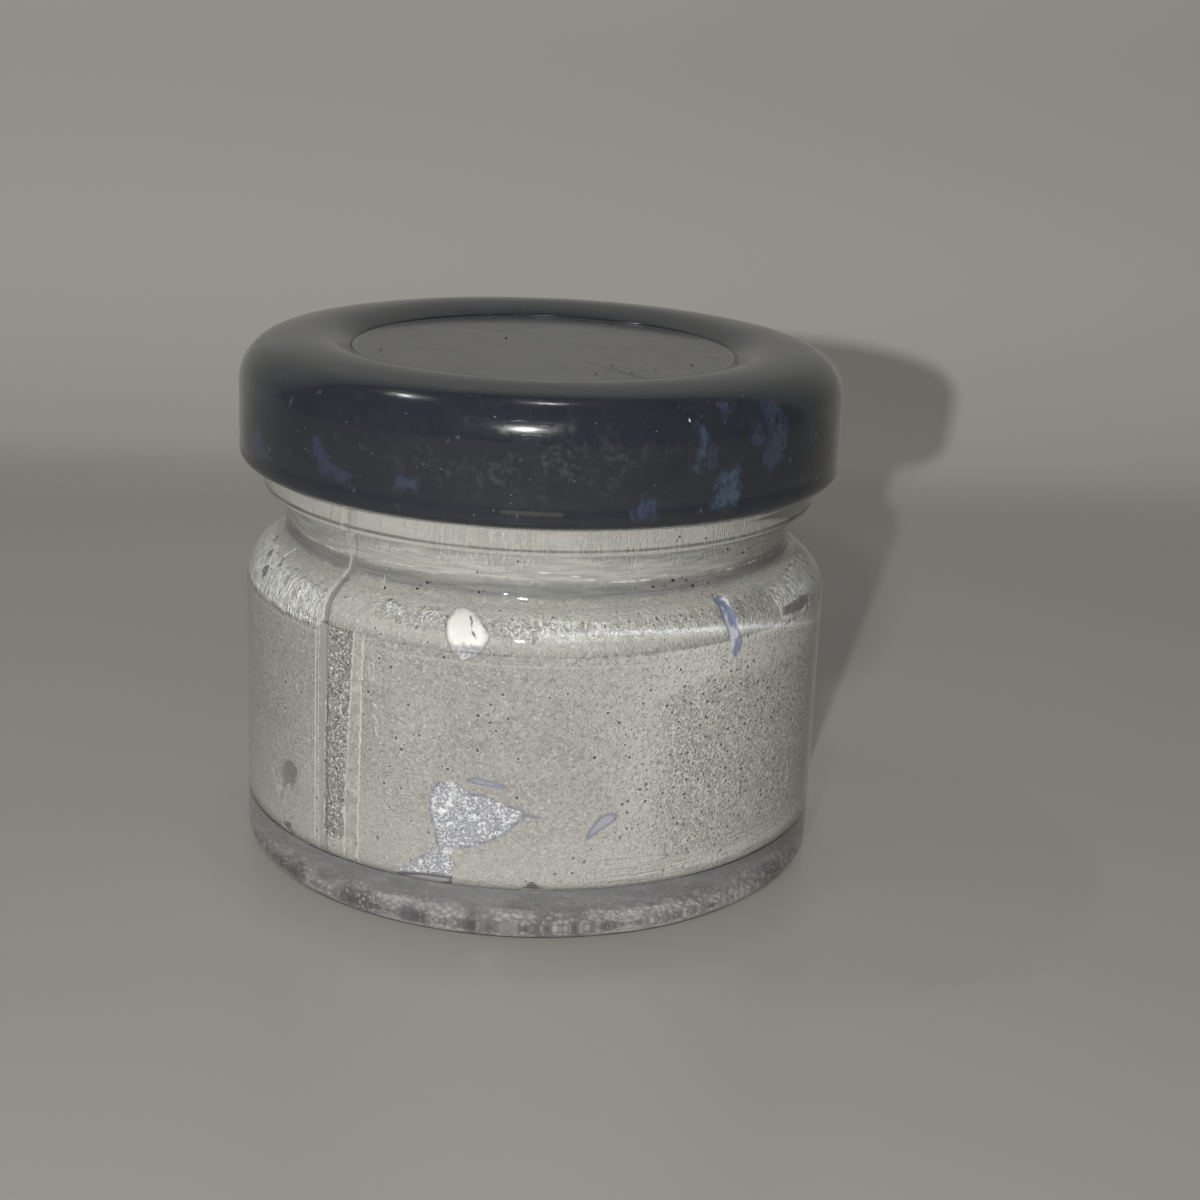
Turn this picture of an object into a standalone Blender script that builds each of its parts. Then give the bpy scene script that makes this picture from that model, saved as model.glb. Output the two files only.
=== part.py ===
"""Small glass paint jar with a four-lug twist-off tinplate lid, as separate solids in metres, +Z up.

The origin is the centre of the circle that the jar stands on. The glass, the paint and the lid are all turned
about +Z. The lid's lugs and the ribs of the glass run along one helix, so the lid turns and rises together.
"""

import math

import bmesh
import bpy

MM = 0.001
SEGMENTS = 40
GAP = 0.3 * MM

# Glass: outside of the jar.
BODY_RADIUS = 22.5 * MM
NECK_RADIUS = 19.5 * MM
FINISH_RADIUS = 20.3 * MM
BEAD_RADIUS = 21.2 * MM
HEEL_ROUND = 1.4 * MM
SHOULDER_Z = 21.2 * MM
SHOULDER_ROUND = 3.3 * MM
NECK_FILLET = 1.4 * MM
BEAD_LOW_Z = 28.3 * MM
BEAD_HIGH_Z = 30.4 * MM
RIM_Z = 38.0 * MM
RIM_ROUND = 0.7 * MM
RING_INNER_RADIUS = 18.4 * MM
PUSH_UP_RADIUS = 16.6 * MM
PUSH_UP_Z = 0.9 * MM

# Glass: inside of the jar.
INSIDE_RADIUS = 20.3 * MM
BORE_RADIUS = 17.6 * MM
FLOOR_Z = 3.4 * MM
FLOOR_CORNER = 2.2 * MM
INNER_SHOULDER_Z = 20.9 * MM
INNER_SHOULDER_ROUND = 2.6 * MM
INNER_NECK_FILLET = 1.6 * MM

# Paint.
PAINT_LEVEL_Z = 20.8 * MM
MENISCUS_RISE = 0.3 * MM
MENISCUS_WIDTH = 1.4 * MM
FILM_LOW_Z = 21.6 * MM
FILM_HIGH_Z = 37.0 * MM
FILM_THICKNESS = 0.35 * MM

# Lid.
LID_RADIUS = 23.0 * MM
LID_TOP_Z = 40.0 * MM
PANEL_Z = 39.0 * MM
PANEL_RADIUS = 14.4 * MM
ANNULUS_INNER_RADIUS = 16.4 * MM
LID_SHOULDER_ROUND = 3.4 * MM
PLATE = 0.25 * MM
CURL_RADIUS = 0.7 * MM
CURL_TURN = 300.0
LID_BOTTOM_Z = 30.7 * MM

# Gasket.
GASKET_INNER_RADIUS = 17.2 * MM
GASKET_OUTER_RADIUS = 21.2 * MM
GASKET_THICKNESS = 1.05 * MM

# Thread: four starts, right-handed.
STARTS = 4
LEAD = 12.4 * MM
LUG_RADIUS = 0.5 * MM
LUG_CENTRE_RADIUS = 21.35 * MM
LUG_Z = 31.75 * MM
LUG_SWEEP = (-12.0, 12.0)
RIB_RADIUS = 0.75 * MM
RIB_CENTRE_RADIUS = 20.5 * MM
RIB_Z = LUG_Z + 1.45 * MM
RIB_SWEEP = (-14.0, 46.0)
BAR_STEP = 6.0


def clear_scene():
    for obj in list(bpy.data.objects):
        bpy.data.objects.remove(obj, do_unlink=True)


def new_collection(name):
    collection = bpy.data.collections.new(name)
    bpy.context.scene.collection.children.link(collection)
    return collection


def new_material(name, colour, roughness, metallic=0.0, transmission=0.0):
    material = bpy.data.materials.new(name)
    material.use_nodes = True
    shader = material.node_tree.nodes["Principled BSDF"]
    shader.inputs["Base Color"].default_value = (*colour, 1.0)
    shader.inputs["Roughness"].default_value = roughness
    shader.inputs["Metallic"].default_value = metallic
    shader.inputs["Transmission Weight"].default_value = transmission
    return material


def arc(centre, radius, start, end, steps):
    """Points (r, z) on a circle about centre, from start to end degrees, both included."""
    points = []
    for i in range(steps + 1):
        angle = math.radians(start + (end - start) * i / steps)
        points.append((centre[0] + radius * math.cos(angle), centre[1] + radius * math.sin(angle)))
    return points


def shoulder(wide, narrow, low_z, round_radius, fillet_radius, steps=4):
    """An S-curve going up from a wide cylinder to a narrow one: a convex arc, then a concave one."""
    turn = math.degrees(math.acos(1 - (wide - narrow) / (round_radius + fillet_radius)))
    high_z = low_z + (round_radius + fillet_radius) * math.sin(math.radians(turn))
    low_arc = arc((wide - round_radius, low_z), round_radius, 0, turn, steps)
    high_arc = arc((narrow + fillet_radius, high_z), fillet_radius, 180 + turn, 180, steps)
    return low_arc + high_arc[1:]


def inner_wall(gap):
    """The shoulder and neck inside the glass, from below upward, moved inward by gap."""
    return shoulder(
        INSIDE_RADIUS - gap,
        BORE_RADIUS - gap,
        INNER_SHOULDER_Z,
        INNER_SHOULDER_ROUND - gap,
        INNER_NECK_FILLET + gap,
    )


def turned(name, profile, material, collection, closed):
    """A solid or, from an open profile, a surface of revolution about Z. The profile runs down its outer side."""
    mesh = bpy.data.meshes.new(name)
    count = len(profile)
    edges = [(i, (i + 1) % count) for i in range(count if closed else count - 1)]
    mesh.from_pydata([(r, 0.0, z) for r, z in profile], edges, [])
    obj = bpy.data.objects.new(name, mesh)
    collection.objects.link(obj)
    mesh.materials.append(material)
    screw = obj.modifiers.new("Turn", "SCREW")
    screw.axis = "Z"
    screw.steps = SEGMENTS
    screw.render_steps = SEGMENTS
    screw.use_merge_vertices = True
    screw.merge_threshold = 1e-6
    screw.use_smooth_shade = True
    return obj


def helical_bars(name, centre_radius, centre_z, bar_radius, sweep, collection):
    """One round bar for each thread start, lying along the thread's helix, as one hidden mesh for a Boolean."""
    curve = bpy.data.curves.new(name, "CURVE")
    curve.dimensions = "3D"
    curve.bevel_depth = bar_radius
    curve.bevel_resolution = 2
    curve.use_fill_caps = True
    count = round((sweep[1] - sweep[0]) / BAR_STEP) + 1
    for start in range(STARTS):
        spline = curve.splines.new("POLY")
        spline.points.add(count - 1)
        for i, point in enumerate(spline.points):
            turn = sweep[0] + (sweep[1] - sweep[0]) * i / (count - 1)
            angle = math.radians(turn + 360.0 * start / STARTS)
            z = centre_z + LEAD * turn / 360.0
            point.co = (centre_radius * math.cos(angle), centre_radius * math.sin(angle), z, 1.0)
    bars = bpy.data.objects.new(name + "_curve", curve)
    collection.objects.link(bars)
    bpy.context.view_layer.update()
    evaluated = bars.evaluated_get(bpy.context.evaluated_depsgraph_get())
    mesh = bpy.data.meshes.new_from_object(evaluated)
    cleaned = bmesh.new()
    cleaned.from_mesh(mesh)
    bmesh.ops.remove_doubles(cleaned, verts=cleaned.verts, dist=1e-6)
    bmesh.ops.recalc_face_normals(cleaned, faces=cleaned.faces)
    cleaned.to_mesh(mesh)
    cleaned.free()
    obj = bpy.data.objects.new(name, mesh)
    collection.objects.link(obj)
    bpy.data.objects.remove(bars, do_unlink=True)
    obj.hide_render = True
    obj.display_type = "WIRE"
    return obj


def join_to(obj, addition):
    union = obj.modifiers.new("Join " + addition.name, "BOOLEAN")
    union.operation = "UNION"
    union.solver = "EXACT"
    union.object = addition


def make_glass_jar(collection, helpers):
    """Thick-based jar with a rounded shoulder, a transfer bead and a lug finish."""
    inside = [(0.0, FLOOR_Z)]
    inside += arc((INSIDE_RADIUS - FLOOR_CORNER, FLOOR_Z + FLOOR_CORNER), FLOOR_CORNER, 270, 360, 5)
    inside += inner_wall(0.0)
    rim = arc((BORE_RADIUS + RIM_ROUND, RIM_Z - RIM_ROUND), RIM_ROUND, 180, 90, 3)
    rim += arc((FINISH_RADIUS - RIM_ROUND, RIM_Z - RIM_ROUND), RIM_ROUND, 90, 0, 3)
    bead_middle = (BEAD_LOW_Z + BEAD_HIGH_Z) / 2
    bead_round = 0.5 * MM
    bead = [(FINISH_RADIUS, BEAD_HIGH_Z)]
    bead += arc((BEAD_RADIUS - bead_round, bead_middle + bead_round / 2), bead_round, 60, 0, 2)
    bead += arc((BEAD_RADIUS - bead_round, bead_middle - bead_round / 2), bead_round, 0, -60, 2)
    bead += [(NECK_RADIUS + bead_round, BEAD_LOW_Z + bead_round / 4), (NECK_RADIUS, BEAD_LOW_Z - bead_round / 4)]
    outside = shoulder(BODY_RADIUS, NECK_RADIUS, SHOULDER_Z, SHOULDER_ROUND, NECK_FILLET)[::-1]
    heel = arc((BODY_RADIUS - HEEL_ROUND, HEEL_ROUND), HEEL_ROUND, 0, -90, 4)
    base = [(RING_INNER_RADIUS, 0.0), (PUSH_UP_RADIUS, PUSH_UP_Z), (0.0, PUSH_UP_Z)]
    material = new_material("clear_glass", (0.93, 0.95, 0.94), 0.04, transmission=1.0)
    profile = inside + rim + bead + outside + heel + base
    jar = turned("glass_jar", profile, material, collection, closed=False)
    ribs = helical_bars("thread_ribs", RIB_CENTRE_RADIUS, RIB_Z, RIB_RADIUS, RIB_SWEEP, helpers)
    join_to(jar, ribs)


def make_paint_fill(collection):
    """The mass of paint, standing on the floor of the jar up to its level."""
    radius = INSIDE_RADIUS - GAP
    corner = FLOOR_CORNER - GAP
    top = [
        (0.0, PAINT_LEVEL_Z),
        (radius - MENISCUS_WIDTH, PAINT_LEVEL_Z),
        (radius - MENISCUS_WIDTH / 3, PAINT_LEVEL_Z + MENISCUS_RISE / 3),
        (radius, PAINT_LEVEL_Z + MENISCUS_RISE),
    ]
    bottom = arc((radius - corner, FLOOR_Z + GAP + corner), corner, 0, -90, 4)
    material = new_material("paint", (0.52, 0.50, 0.49), 0.45)
    turned("paint_fill", top + bottom + [(0.0, FLOOR_Z + GAP)], material, collection, closed=False)


def make_paint_wall_film(collection):
    """The coat of dried paint that lines the shoulder and the neck above the paint's level."""
    outer = [(INSIDE_RADIUS - GAP, FILM_LOW_Z)]
    outer += [point for point in inner_wall(GAP) if point[1] > FILM_LOW_Z]
    outer += [(BORE_RADIUS - GAP, FILM_HIGH_Z)]
    inset = GAP + FILM_THICKNESS
    inner = [(INSIDE_RADIUS - inset, FILM_LOW_Z)]
    inner += [point for point in inner_wall(inset) if point[1] > FILM_LOW_Z]
    inner += [(BORE_RADIUS - inset, FILM_HIGH_Z)]
    material = new_material("paint_film", (0.60, 0.58, 0.57), 0.4)
    turned("paint_wall_film", inner + outer[::-1], material, collection, closed=True)


def make_lid_shell(collection, helpers):
    """Pressed tinplate: a sunk panel, a raised annulus, a plain skirt and a curl rolled inward, with four lugs."""
    step_round = (LID_TOP_Z - PANEL_Z) / 2
    step = arc((PANEL_RADIUS, PANEL_Z + step_round), step_round, 270, 330, 2)
    step += arc((ANNULUS_INNER_RADIUS, LID_TOP_Z - step_round), step_round, 130, 90, 2)
    shoulder_centre = (LID_RADIUS - LID_SHOULDER_ROUND, LID_TOP_Z - LID_SHOULDER_ROUND)
    crown = arc(shoulder_centre, LID_SHOULDER_ROUND, 90, 0, 7)
    curl_centre = (LID_RADIUS - CURL_RADIUS, LID_BOTTOM_Z + CURL_RADIUS)
    curl = arc(curl_centre, CURL_RADIUS, 0, -CURL_TURN, 9)
    material = new_material("black_lacquer", (0.012, 0.013, 0.016), 0.16)
    profile = [(0.0, PANEL_Z)] + step + crown + curl
    lid = turned("lid_shell", profile, material, collection, closed=False)
    plate = lid.modifiers.new("Plate", "SOLIDIFY")
    plate.thickness = PLATE
    plate.offset = -1.0
    plate.use_even_offset = True
    lugs = helical_bars("lid_lugs", LUG_CENTRE_RADIUS, LUG_Z, LUG_RADIUS, LUG_SWEEP, helpers)
    join_to(lid, lugs)


def make_lid_gasket(collection):
    """The ring of sealing compound in the channel under the annulus, just above the rim of the glass."""
    low_z = RIM_Z + GAP
    high_z = low_z + GASKET_THICKNESS
    bevel = 0.35 * MM
    profile = [
        (GASKET_INNER_RADIUS, low_z + bevel),
        (GASKET_INNER_RADIUS, high_z - bevel / 2),
        (GASKET_INNER_RADIUS + bevel, high_z),
        (GASKET_OUTER_RADIUS - 3 * bevel, high_z),
        (GASKET_OUTER_RADIUS, high_z - 1.6 * bevel),
        (GASKET_OUTER_RADIUS, low_z),
        (GASKET_INNER_RADIUS + bevel, low_z),
    ]
    material = new_material("sealing_compound", (0.75, 0.74, 0.70), 0.55)
    turned("lid_gasket", profile, material, collection, closed=True)


def main():
    clear_scene()
    collection = new_collection("paint_jar")
    helpers = new_collection("helpers")
    make_glass_jar(collection, helpers)
    make_paint_fill(collection)
    make_paint_wall_film(collection)
    make_lid_shell(collection, helpers)
    make_lid_gasket(collection)


main()
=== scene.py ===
"""The looks of a small glass jar of paint with a black lug lid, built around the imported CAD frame.

Lengths are in millimetres until a mesh is made. Azimuths are in degrees about +Z: 0 faces -Y, and they grow
towards +X. A place on the jar or the lid is (azimuth, height), with heights above what the jar stands on.
"""
import math

import bmesh
import bpy
import numpy as np
from mathutils import Matrix, Vector


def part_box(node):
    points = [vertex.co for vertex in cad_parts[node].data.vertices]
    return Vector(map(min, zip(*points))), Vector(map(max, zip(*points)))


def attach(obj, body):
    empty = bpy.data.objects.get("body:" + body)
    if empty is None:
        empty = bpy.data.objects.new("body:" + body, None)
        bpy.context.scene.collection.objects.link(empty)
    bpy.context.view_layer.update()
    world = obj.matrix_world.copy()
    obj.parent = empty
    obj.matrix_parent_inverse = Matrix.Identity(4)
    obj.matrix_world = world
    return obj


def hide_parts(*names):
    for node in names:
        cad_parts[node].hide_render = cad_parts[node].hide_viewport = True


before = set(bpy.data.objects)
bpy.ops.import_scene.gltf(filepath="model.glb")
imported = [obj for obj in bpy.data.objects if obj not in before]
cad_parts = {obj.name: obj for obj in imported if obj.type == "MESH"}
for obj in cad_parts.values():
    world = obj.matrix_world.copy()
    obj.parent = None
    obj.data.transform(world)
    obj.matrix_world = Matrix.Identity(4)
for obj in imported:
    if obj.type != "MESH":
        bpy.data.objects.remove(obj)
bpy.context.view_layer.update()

MM = 0.001
GAP = 0.3
CONTACT = 0.03

JAR_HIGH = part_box("glass_jar")[1] / MM
PAINT_LOW, PAINT_HIGH = (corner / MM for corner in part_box("paint_fill"))
FILM_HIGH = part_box("paint_wall_film")[1] / MM
LID_LOW, LID_HIGH = (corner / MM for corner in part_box("lid_shell"))
GASKET_LOW, GASKET_HIGH = (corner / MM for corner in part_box("lid_gasket"))

# Glass: outside of the jar.
BODY_RADIUS = JAR_HIGH.x
NECK_RADIUS = BODY_RADIUS - 3.0
FINISH_RADIUS = BODY_RADIUS - 2.2
BEAD_RADIUS = BODY_RADIUS - 1.3
BEAD_ROUND = 0.5
HEEL_ROUND = 1.4
SHOULDER_Z = 21.2
SHOULDER_ROUND = 3.3
NECK_FILLET = 1.4
BEAD_LOW_Z = 28.3
BEAD_HIGH_Z = 30.4
RIM_Z = JAR_HIGH.z
RIM_ROUND = 0.7
RING_INNER_RADIUS = 18.4
PUSH_UP_RADIUS = 16.6
PUSH_UP_Z = 0.9
HEEL_TOP_Z = 4.25

# Glass: inside of the jar.
INSIDE_RADIUS = PAINT_HIGH.x + GAP
BORE_RADIUS = INSIDE_RADIUS - 2.7
FLOOR_Z = PAINT_LOW.z - GAP
FLOOR_CORNER = 1.0
INNER_SHOULDER_Z = 20.9
INNER_SHOULDER_ROUND = 2.6
INNER_NECK_FILLET = 1.6

# Thread.
STARTS = 4
LEAD = 12.4
RIB_RADIUS = 0.75
RIB_OFFSET = 0.2
RIB_Z = 33.2
RIB_START, RIB_END, RIB_TAPER = -14.0, 46.0, 4.0
LUG_DEPTH = 0.7
LUG_HALF_SWEEP = 12.0

# Lid.
LID_RADIUS = LID_HIGH.x
LID_TOP_Z = LID_HIGH.z
LID_BOTTOM_Z = LID_LOW.z
PANEL_Z = LID_TOP_Z - 1.0
PANEL_RADIUS = 14.4
PANEL_FILLET = 0.35
STEP_TURN = 31.0
STEP_ROUND = 6.64
APEX_RADIUS = 18.0
DOME_ROUND = 10.0
DOME_TURN = 14.0
LID_SHOULDER_ROUND = 3.4
CREASE_Z = 32.3
PLATE = 0.25
CURL_RADIUS = 0.7

# Degrees of azimuth as millimetres along a wall.
ARC_PER_DEGREE = INSIDE_RADIUS * math.pi / 180
NECK_ARC_PER_DEGREE = BORE_RADIUS * math.pi / 180
LID_ARC_PER_DEGREE = LID_RADIUS * math.pi / 180

# Around the jar, the paint and the lid.
JAR_COLUMNS, PAINT_COLUMNS, COAT_COLUMNS, LID_COLUMNS, GASKET_COLUMNS = 288, 640, 600, 288, 256
JAR_SEED, PAINT_SEED, COAT_SEED, LID_SEED, GASKET_SEED, DUST_SEED = 11, 23, 37, 41, 53, 61

# The paint: how far its level is below its solid's top, and how strong its bump is.
LEVEL_DROP = 0.3
PAINT_BUMP = 0.16
COAT_THICKNESS = 0.42
CHANNEL_DEPTH = 0.15

# Colours.
PAINT_GAIN = 1.05
BRIGHTEST = 0.95

# Studio and camera.
SHEET_BEND_Y, SHEET_BEND_RADIUS = 95.0, 150.0
SHEET_FRONT_Y, SHEET_TOP_Z, SHEET_HALF_WIDTH = -600.0, 500.0, 600.0
WARM_WHITE = (1.0, 0.99, 0.97)
CAMERA_PLACE = (0, -158.0, 67.3)
CAMERA_YAW, CAMERA_PITCH, CAMERA_ROLL = 1.85, 16.96, 2.52
CAMERA_LENS, CAMERA_SENSOR, CAMERA_NEAR = 62.6, 36.0, 0.01


# ---------------------------------------------------------------- profiles

def arc(centre, radius, start, end, steps):
    """Points (r, z) on a circle about centre, from start to end degrees, both included."""
    points = []
    for i in range(steps + 1):
        angle = math.radians(start + (end - start) * i / steps)
        points.append((centre[0] + radius * math.cos(angle), centre[1] + radius * math.sin(angle)))
    return points


def shoulder(wide, narrow, low_z, round_radius, fillet_radius, steps=12):
    """An S-curve going up from a wide cylinder to a narrow one: a convex arc, then a concave one."""
    turn = math.degrees(math.acos(1 - (wide - narrow) / (round_radius + fillet_radius)))
    high_z = low_z + (round_radius + fillet_radius) * math.sin(math.radians(turn))
    low_arc = arc((wide - round_radius, low_z), round_radius, 0, turn, steps)
    high_arc = arc((narrow + fillet_radius, high_z), fillet_radius, 180 + turn, 180, steps)
    return low_arc + high_arc[1:]


def inner_wall(inset):
    """The shoulder and neck inside the glass, from below upward, moved towards the axis by inset."""
    return shoulder(
        INSIDE_RADIUS - inset,
        BORE_RADIUS - inset,
        INNER_SHOULDER_Z,
        INNER_SHOULDER_ROUND - inset,
        INNER_NECK_FILLET + inset,
    )


def split(points, longest):
    """The same line with points added so that no stretch is longer than longest."""
    made = [points[0]]
    for start, end in zip(points, points[1:]):
        count = max(1, math.ceil(math.dist(start, end) / longest))
        for i in range(1, count + 1):
            share = i / count
            made.append((start[0] + (end[0] - start[0]) * share, start[1] + (end[1] - start[1]) * share))
    return made


def even(points, step):
    """The same line with its points spaced evenly, about step apart."""
    line = np.array(points)
    along = np.concatenate([[0], np.cumsum(np.linalg.norm(np.diff(line, axis=0), axis=1))])
    places = np.linspace(0, along[-1], max(2, round(along[-1] / step) + 1))
    return list(zip(np.interp(places, along, line[:, 0]), np.interp(places, along, line[:, 1])))


def line_normals(points):
    """Unit normals on the left of a line of (r, z) points."""
    line = np.array(points)
    tangent = np.gradient(line, axis=0)
    tangent /= np.maximum(np.linalg.norm(tangent, axis=1, keepdims=True), 1e-9)
    return np.stack([-tangent[:, 1], tangent[:, 0]], axis=1)


# ---------------------------------------------------------------- noise and fields

class Lattice:
    """Smooth seeded noise from -1 to 1 through space, which repeats every SIZE cells."""

    SIZE = 48

    def __init__(self, seed):
        self.table = np.random.default_rng(seed).uniform(-1, 1, (self.SIZE,) * 3)

    def __call__(self, points, cell):
        scaled = points / np.array(cell)
        base = np.floor(scaled).astype(int)
        part = scaled - base
        part = part * part * (3 - 2 * part)
        total = 0
        for corner in np.ndindex(2, 2, 2):
            index = (base + corner) % self.SIZE
            weight = np.prod(np.where(corner, part, 1 - part), axis=-1)
            total = total + weight * self.table[index[..., 0], index[..., 1], index[..., 2]]
        return total

    def rough(self, points, cell, octaves=3):
        """Noise at cell and at each half of it, every one half as strong as the one before."""
        return sum(self(points + 7 * i, cell / 2**i) / 2**i for i in range(octaves))


def smooth(value, low, high):
    """0 below low, 1 above high, and an S-curve between them."""
    share = np.clip((value - low) / (high - low), 0, 1)
    return share * share * (3 - 2 * share)


def between(value, start, full, fade, end):
    """1 from full to fade, and 0 before start and after end."""
    return smooth(value, start, full) * smooth(-value, -end, -fade)


def inside_outline(azimuth, height, outline, degree=ARC_PER_DEGREE):
    """How far each place is inside an outline of (azimuth, height) points, in mm; negative outside it."""
    across, up = azimuth * degree, height
    corners = [(a * degree, z) for a, z in outline]
    nearest = np.full(across.shape, np.inf)
    inside = np.zeros(across.shape, bool)
    for (x0, y0), (x1, y1) in zip(corners, corners[1:] + corners[:1]):
        nearest = np.minimum(nearest, segment_distance(across, up, x0, y0, x1, y1))
        crosses = (y0 > up) != (y1 > up)
        if y1 != y0:
            inside ^= crosses & (across < x0 + (up - y0) * (x1 - x0) / (y1 - y0))
    return np.where(inside, nearest, -nearest)


def segment_distance(across, up, x0, y0, x1, y1):
    length = (x1 - x0) ** 2 + (y1 - y0) ** 2
    share = np.clip(((across - x0) * (x1 - x0) + (up - y0) * (y1 - y0)) / max(length, 1e-9), 0, 1)
    return np.hypot(across - x0 - share * (x1 - x0), up - y0 - share * (y1 - y0))


def near_lines(azimuth, height, lines, degree=ARC_PER_DEGREE):
    """The distance to the nearest of several lines of (azimuth, height) points, in mm."""
    nearest = np.full(azimuth.shape, np.inf)
    for line in lines:
        for (a0, z0), (a1, z1) in zip(line, line[1:]):
            found = segment_distance(azimuth * degree, height, a0 * degree, z0, a1 * degree, z1)
            nearest = np.minimum(nearest, found)
    return nearest


def best(fields):
    return np.maximum.reduce(list(fields))


# ---------------------------------------------------------------- turned meshes

class Turned:
    """A profile turned about +Z as a grid of rows and columns. The profile keeps its solid on its right."""

    def __init__(self, profile, columns):
        line = np.array(profile)
        self.normal = line_normals(profile)[:, None, :]
        self.azimuth = np.broadcast_to(np.arange(columns) * 360.0 / columns - 180.0, (len(line), columns))
        self.radius = np.repeat(line[:, :1], columns, axis=1)
        self.height = np.repeat(line[:, 1:], columns, axis=1)
        self.pole = line[:, 0] < 1e-6

    def points(self):
        angle = np.radians(self.azimuth)
        radius = np.where(self.pole[:, None], 0, self.radius)
        return np.stack([radius * np.sin(angle), -radius * np.cos(angle), self.height], axis=-1)

    def push(self, amount):
        """Moves each point by amount along the profile's normal, out of the solid."""
        self.radius = self.radius + amount * self.normal[..., 0]
        self.height = self.height + amount * self.normal[..., 1]


def grid_faces(rows, columns, start=0):
    """Quads between neighbouring rows and columns, which close round, as an array of four indices each."""
    row, column = np.meshgrid(np.arange(rows - 1), np.arange(columns), indexing="ij")
    after = (column + 1) % columns
    low, high = start + row * columns, start + (row + 1) * columns
    return np.stack([low + column, low + after, high + after, high + column], axis=-1)


def make_object(name, points, faces, materials, attributes=None, face_materials=None):
    """A smooth closed mesh object in metres. Points that coincide become one."""
    mesh = bpy.data.meshes.new(name)
    flat = points.reshape(-1, 3) * MM
    mesh.from_pydata(flat.tolist(), [], faces.reshape(-1, 4).tolist())
    for key, values in (attributes or {}).items():
        layer = mesh.attributes.new(key, "FLOAT", "POINT")
        layer.data.foreach_set("value", np.ascontiguousarray(values, np.float32).ravel())
    for material in materials:
        mesh.materials.append(material)
    if face_materials is not None:
        mesh.polygons.foreach_set("material_index", face_materials.ravel().astype(np.int32))
    work = bmesh.new()
    work.from_mesh(mesh)
    bmesh.ops.remove_doubles(work, verts=work.verts, dist=1e-7)
    bmesh.ops.recalc_face_normals(work, faces=work.faces)
    work.to_mesh(mesh)
    work.free()
    mesh.shade_smooth()
    obj = bpy.data.objects.new(name, mesh)
    bpy.context.scene.collection.objects.link(obj)
    return obj


def turned_object(name, turned, materials, attributes=None, face_materials=None):
    rows, columns = turned.radius.shape
    faces = grid_faces(rows, columns)
    return make_object(name, turned.points(), faces, materials, attributes, face_materials)


# ---------------------------------------------------------------- materials

def linear(tone):
    """A display tone from 0 to 255 as linear light."""
    value = tone / 255
    return value / 12.92 if value <= 0.04045 else ((value + 0.055) / 1.055) ** 2.4


def colour(red, green, blue, gain=1.0):
    return tuple(min(BRIGHTEST, gain * linear(tone)) for tone in (red, green, blue)) + (1.0,)


def paint(red, green, blue):
    """The colour of paint that shows as this tone under the studio's light."""
    return colour(red, green, blue, PAINT_GAIN)


def math_node(operation):
    return lambda *values: values[0].made.maths(operation, *values)


class Value:
    """A number or a colour on a link. Arithmetic on it adds math nodes."""

    def __init__(self, made, socket):
        self.made, self.socket = made, socket

    def __rsub__(self, other):
        return self.made.maths("SUBTRACT", other, self)

    __add__ = math_node("ADD")
    __sub__ = math_node("SUBTRACT")
    __mul__ = math_node("MULTIPLY")
    __truediv__ = math_node("DIVIDE")
    __gt__ = math_node("GREATER_THAN")
    __abs__ = math_node("ABSOLUTE")


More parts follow.
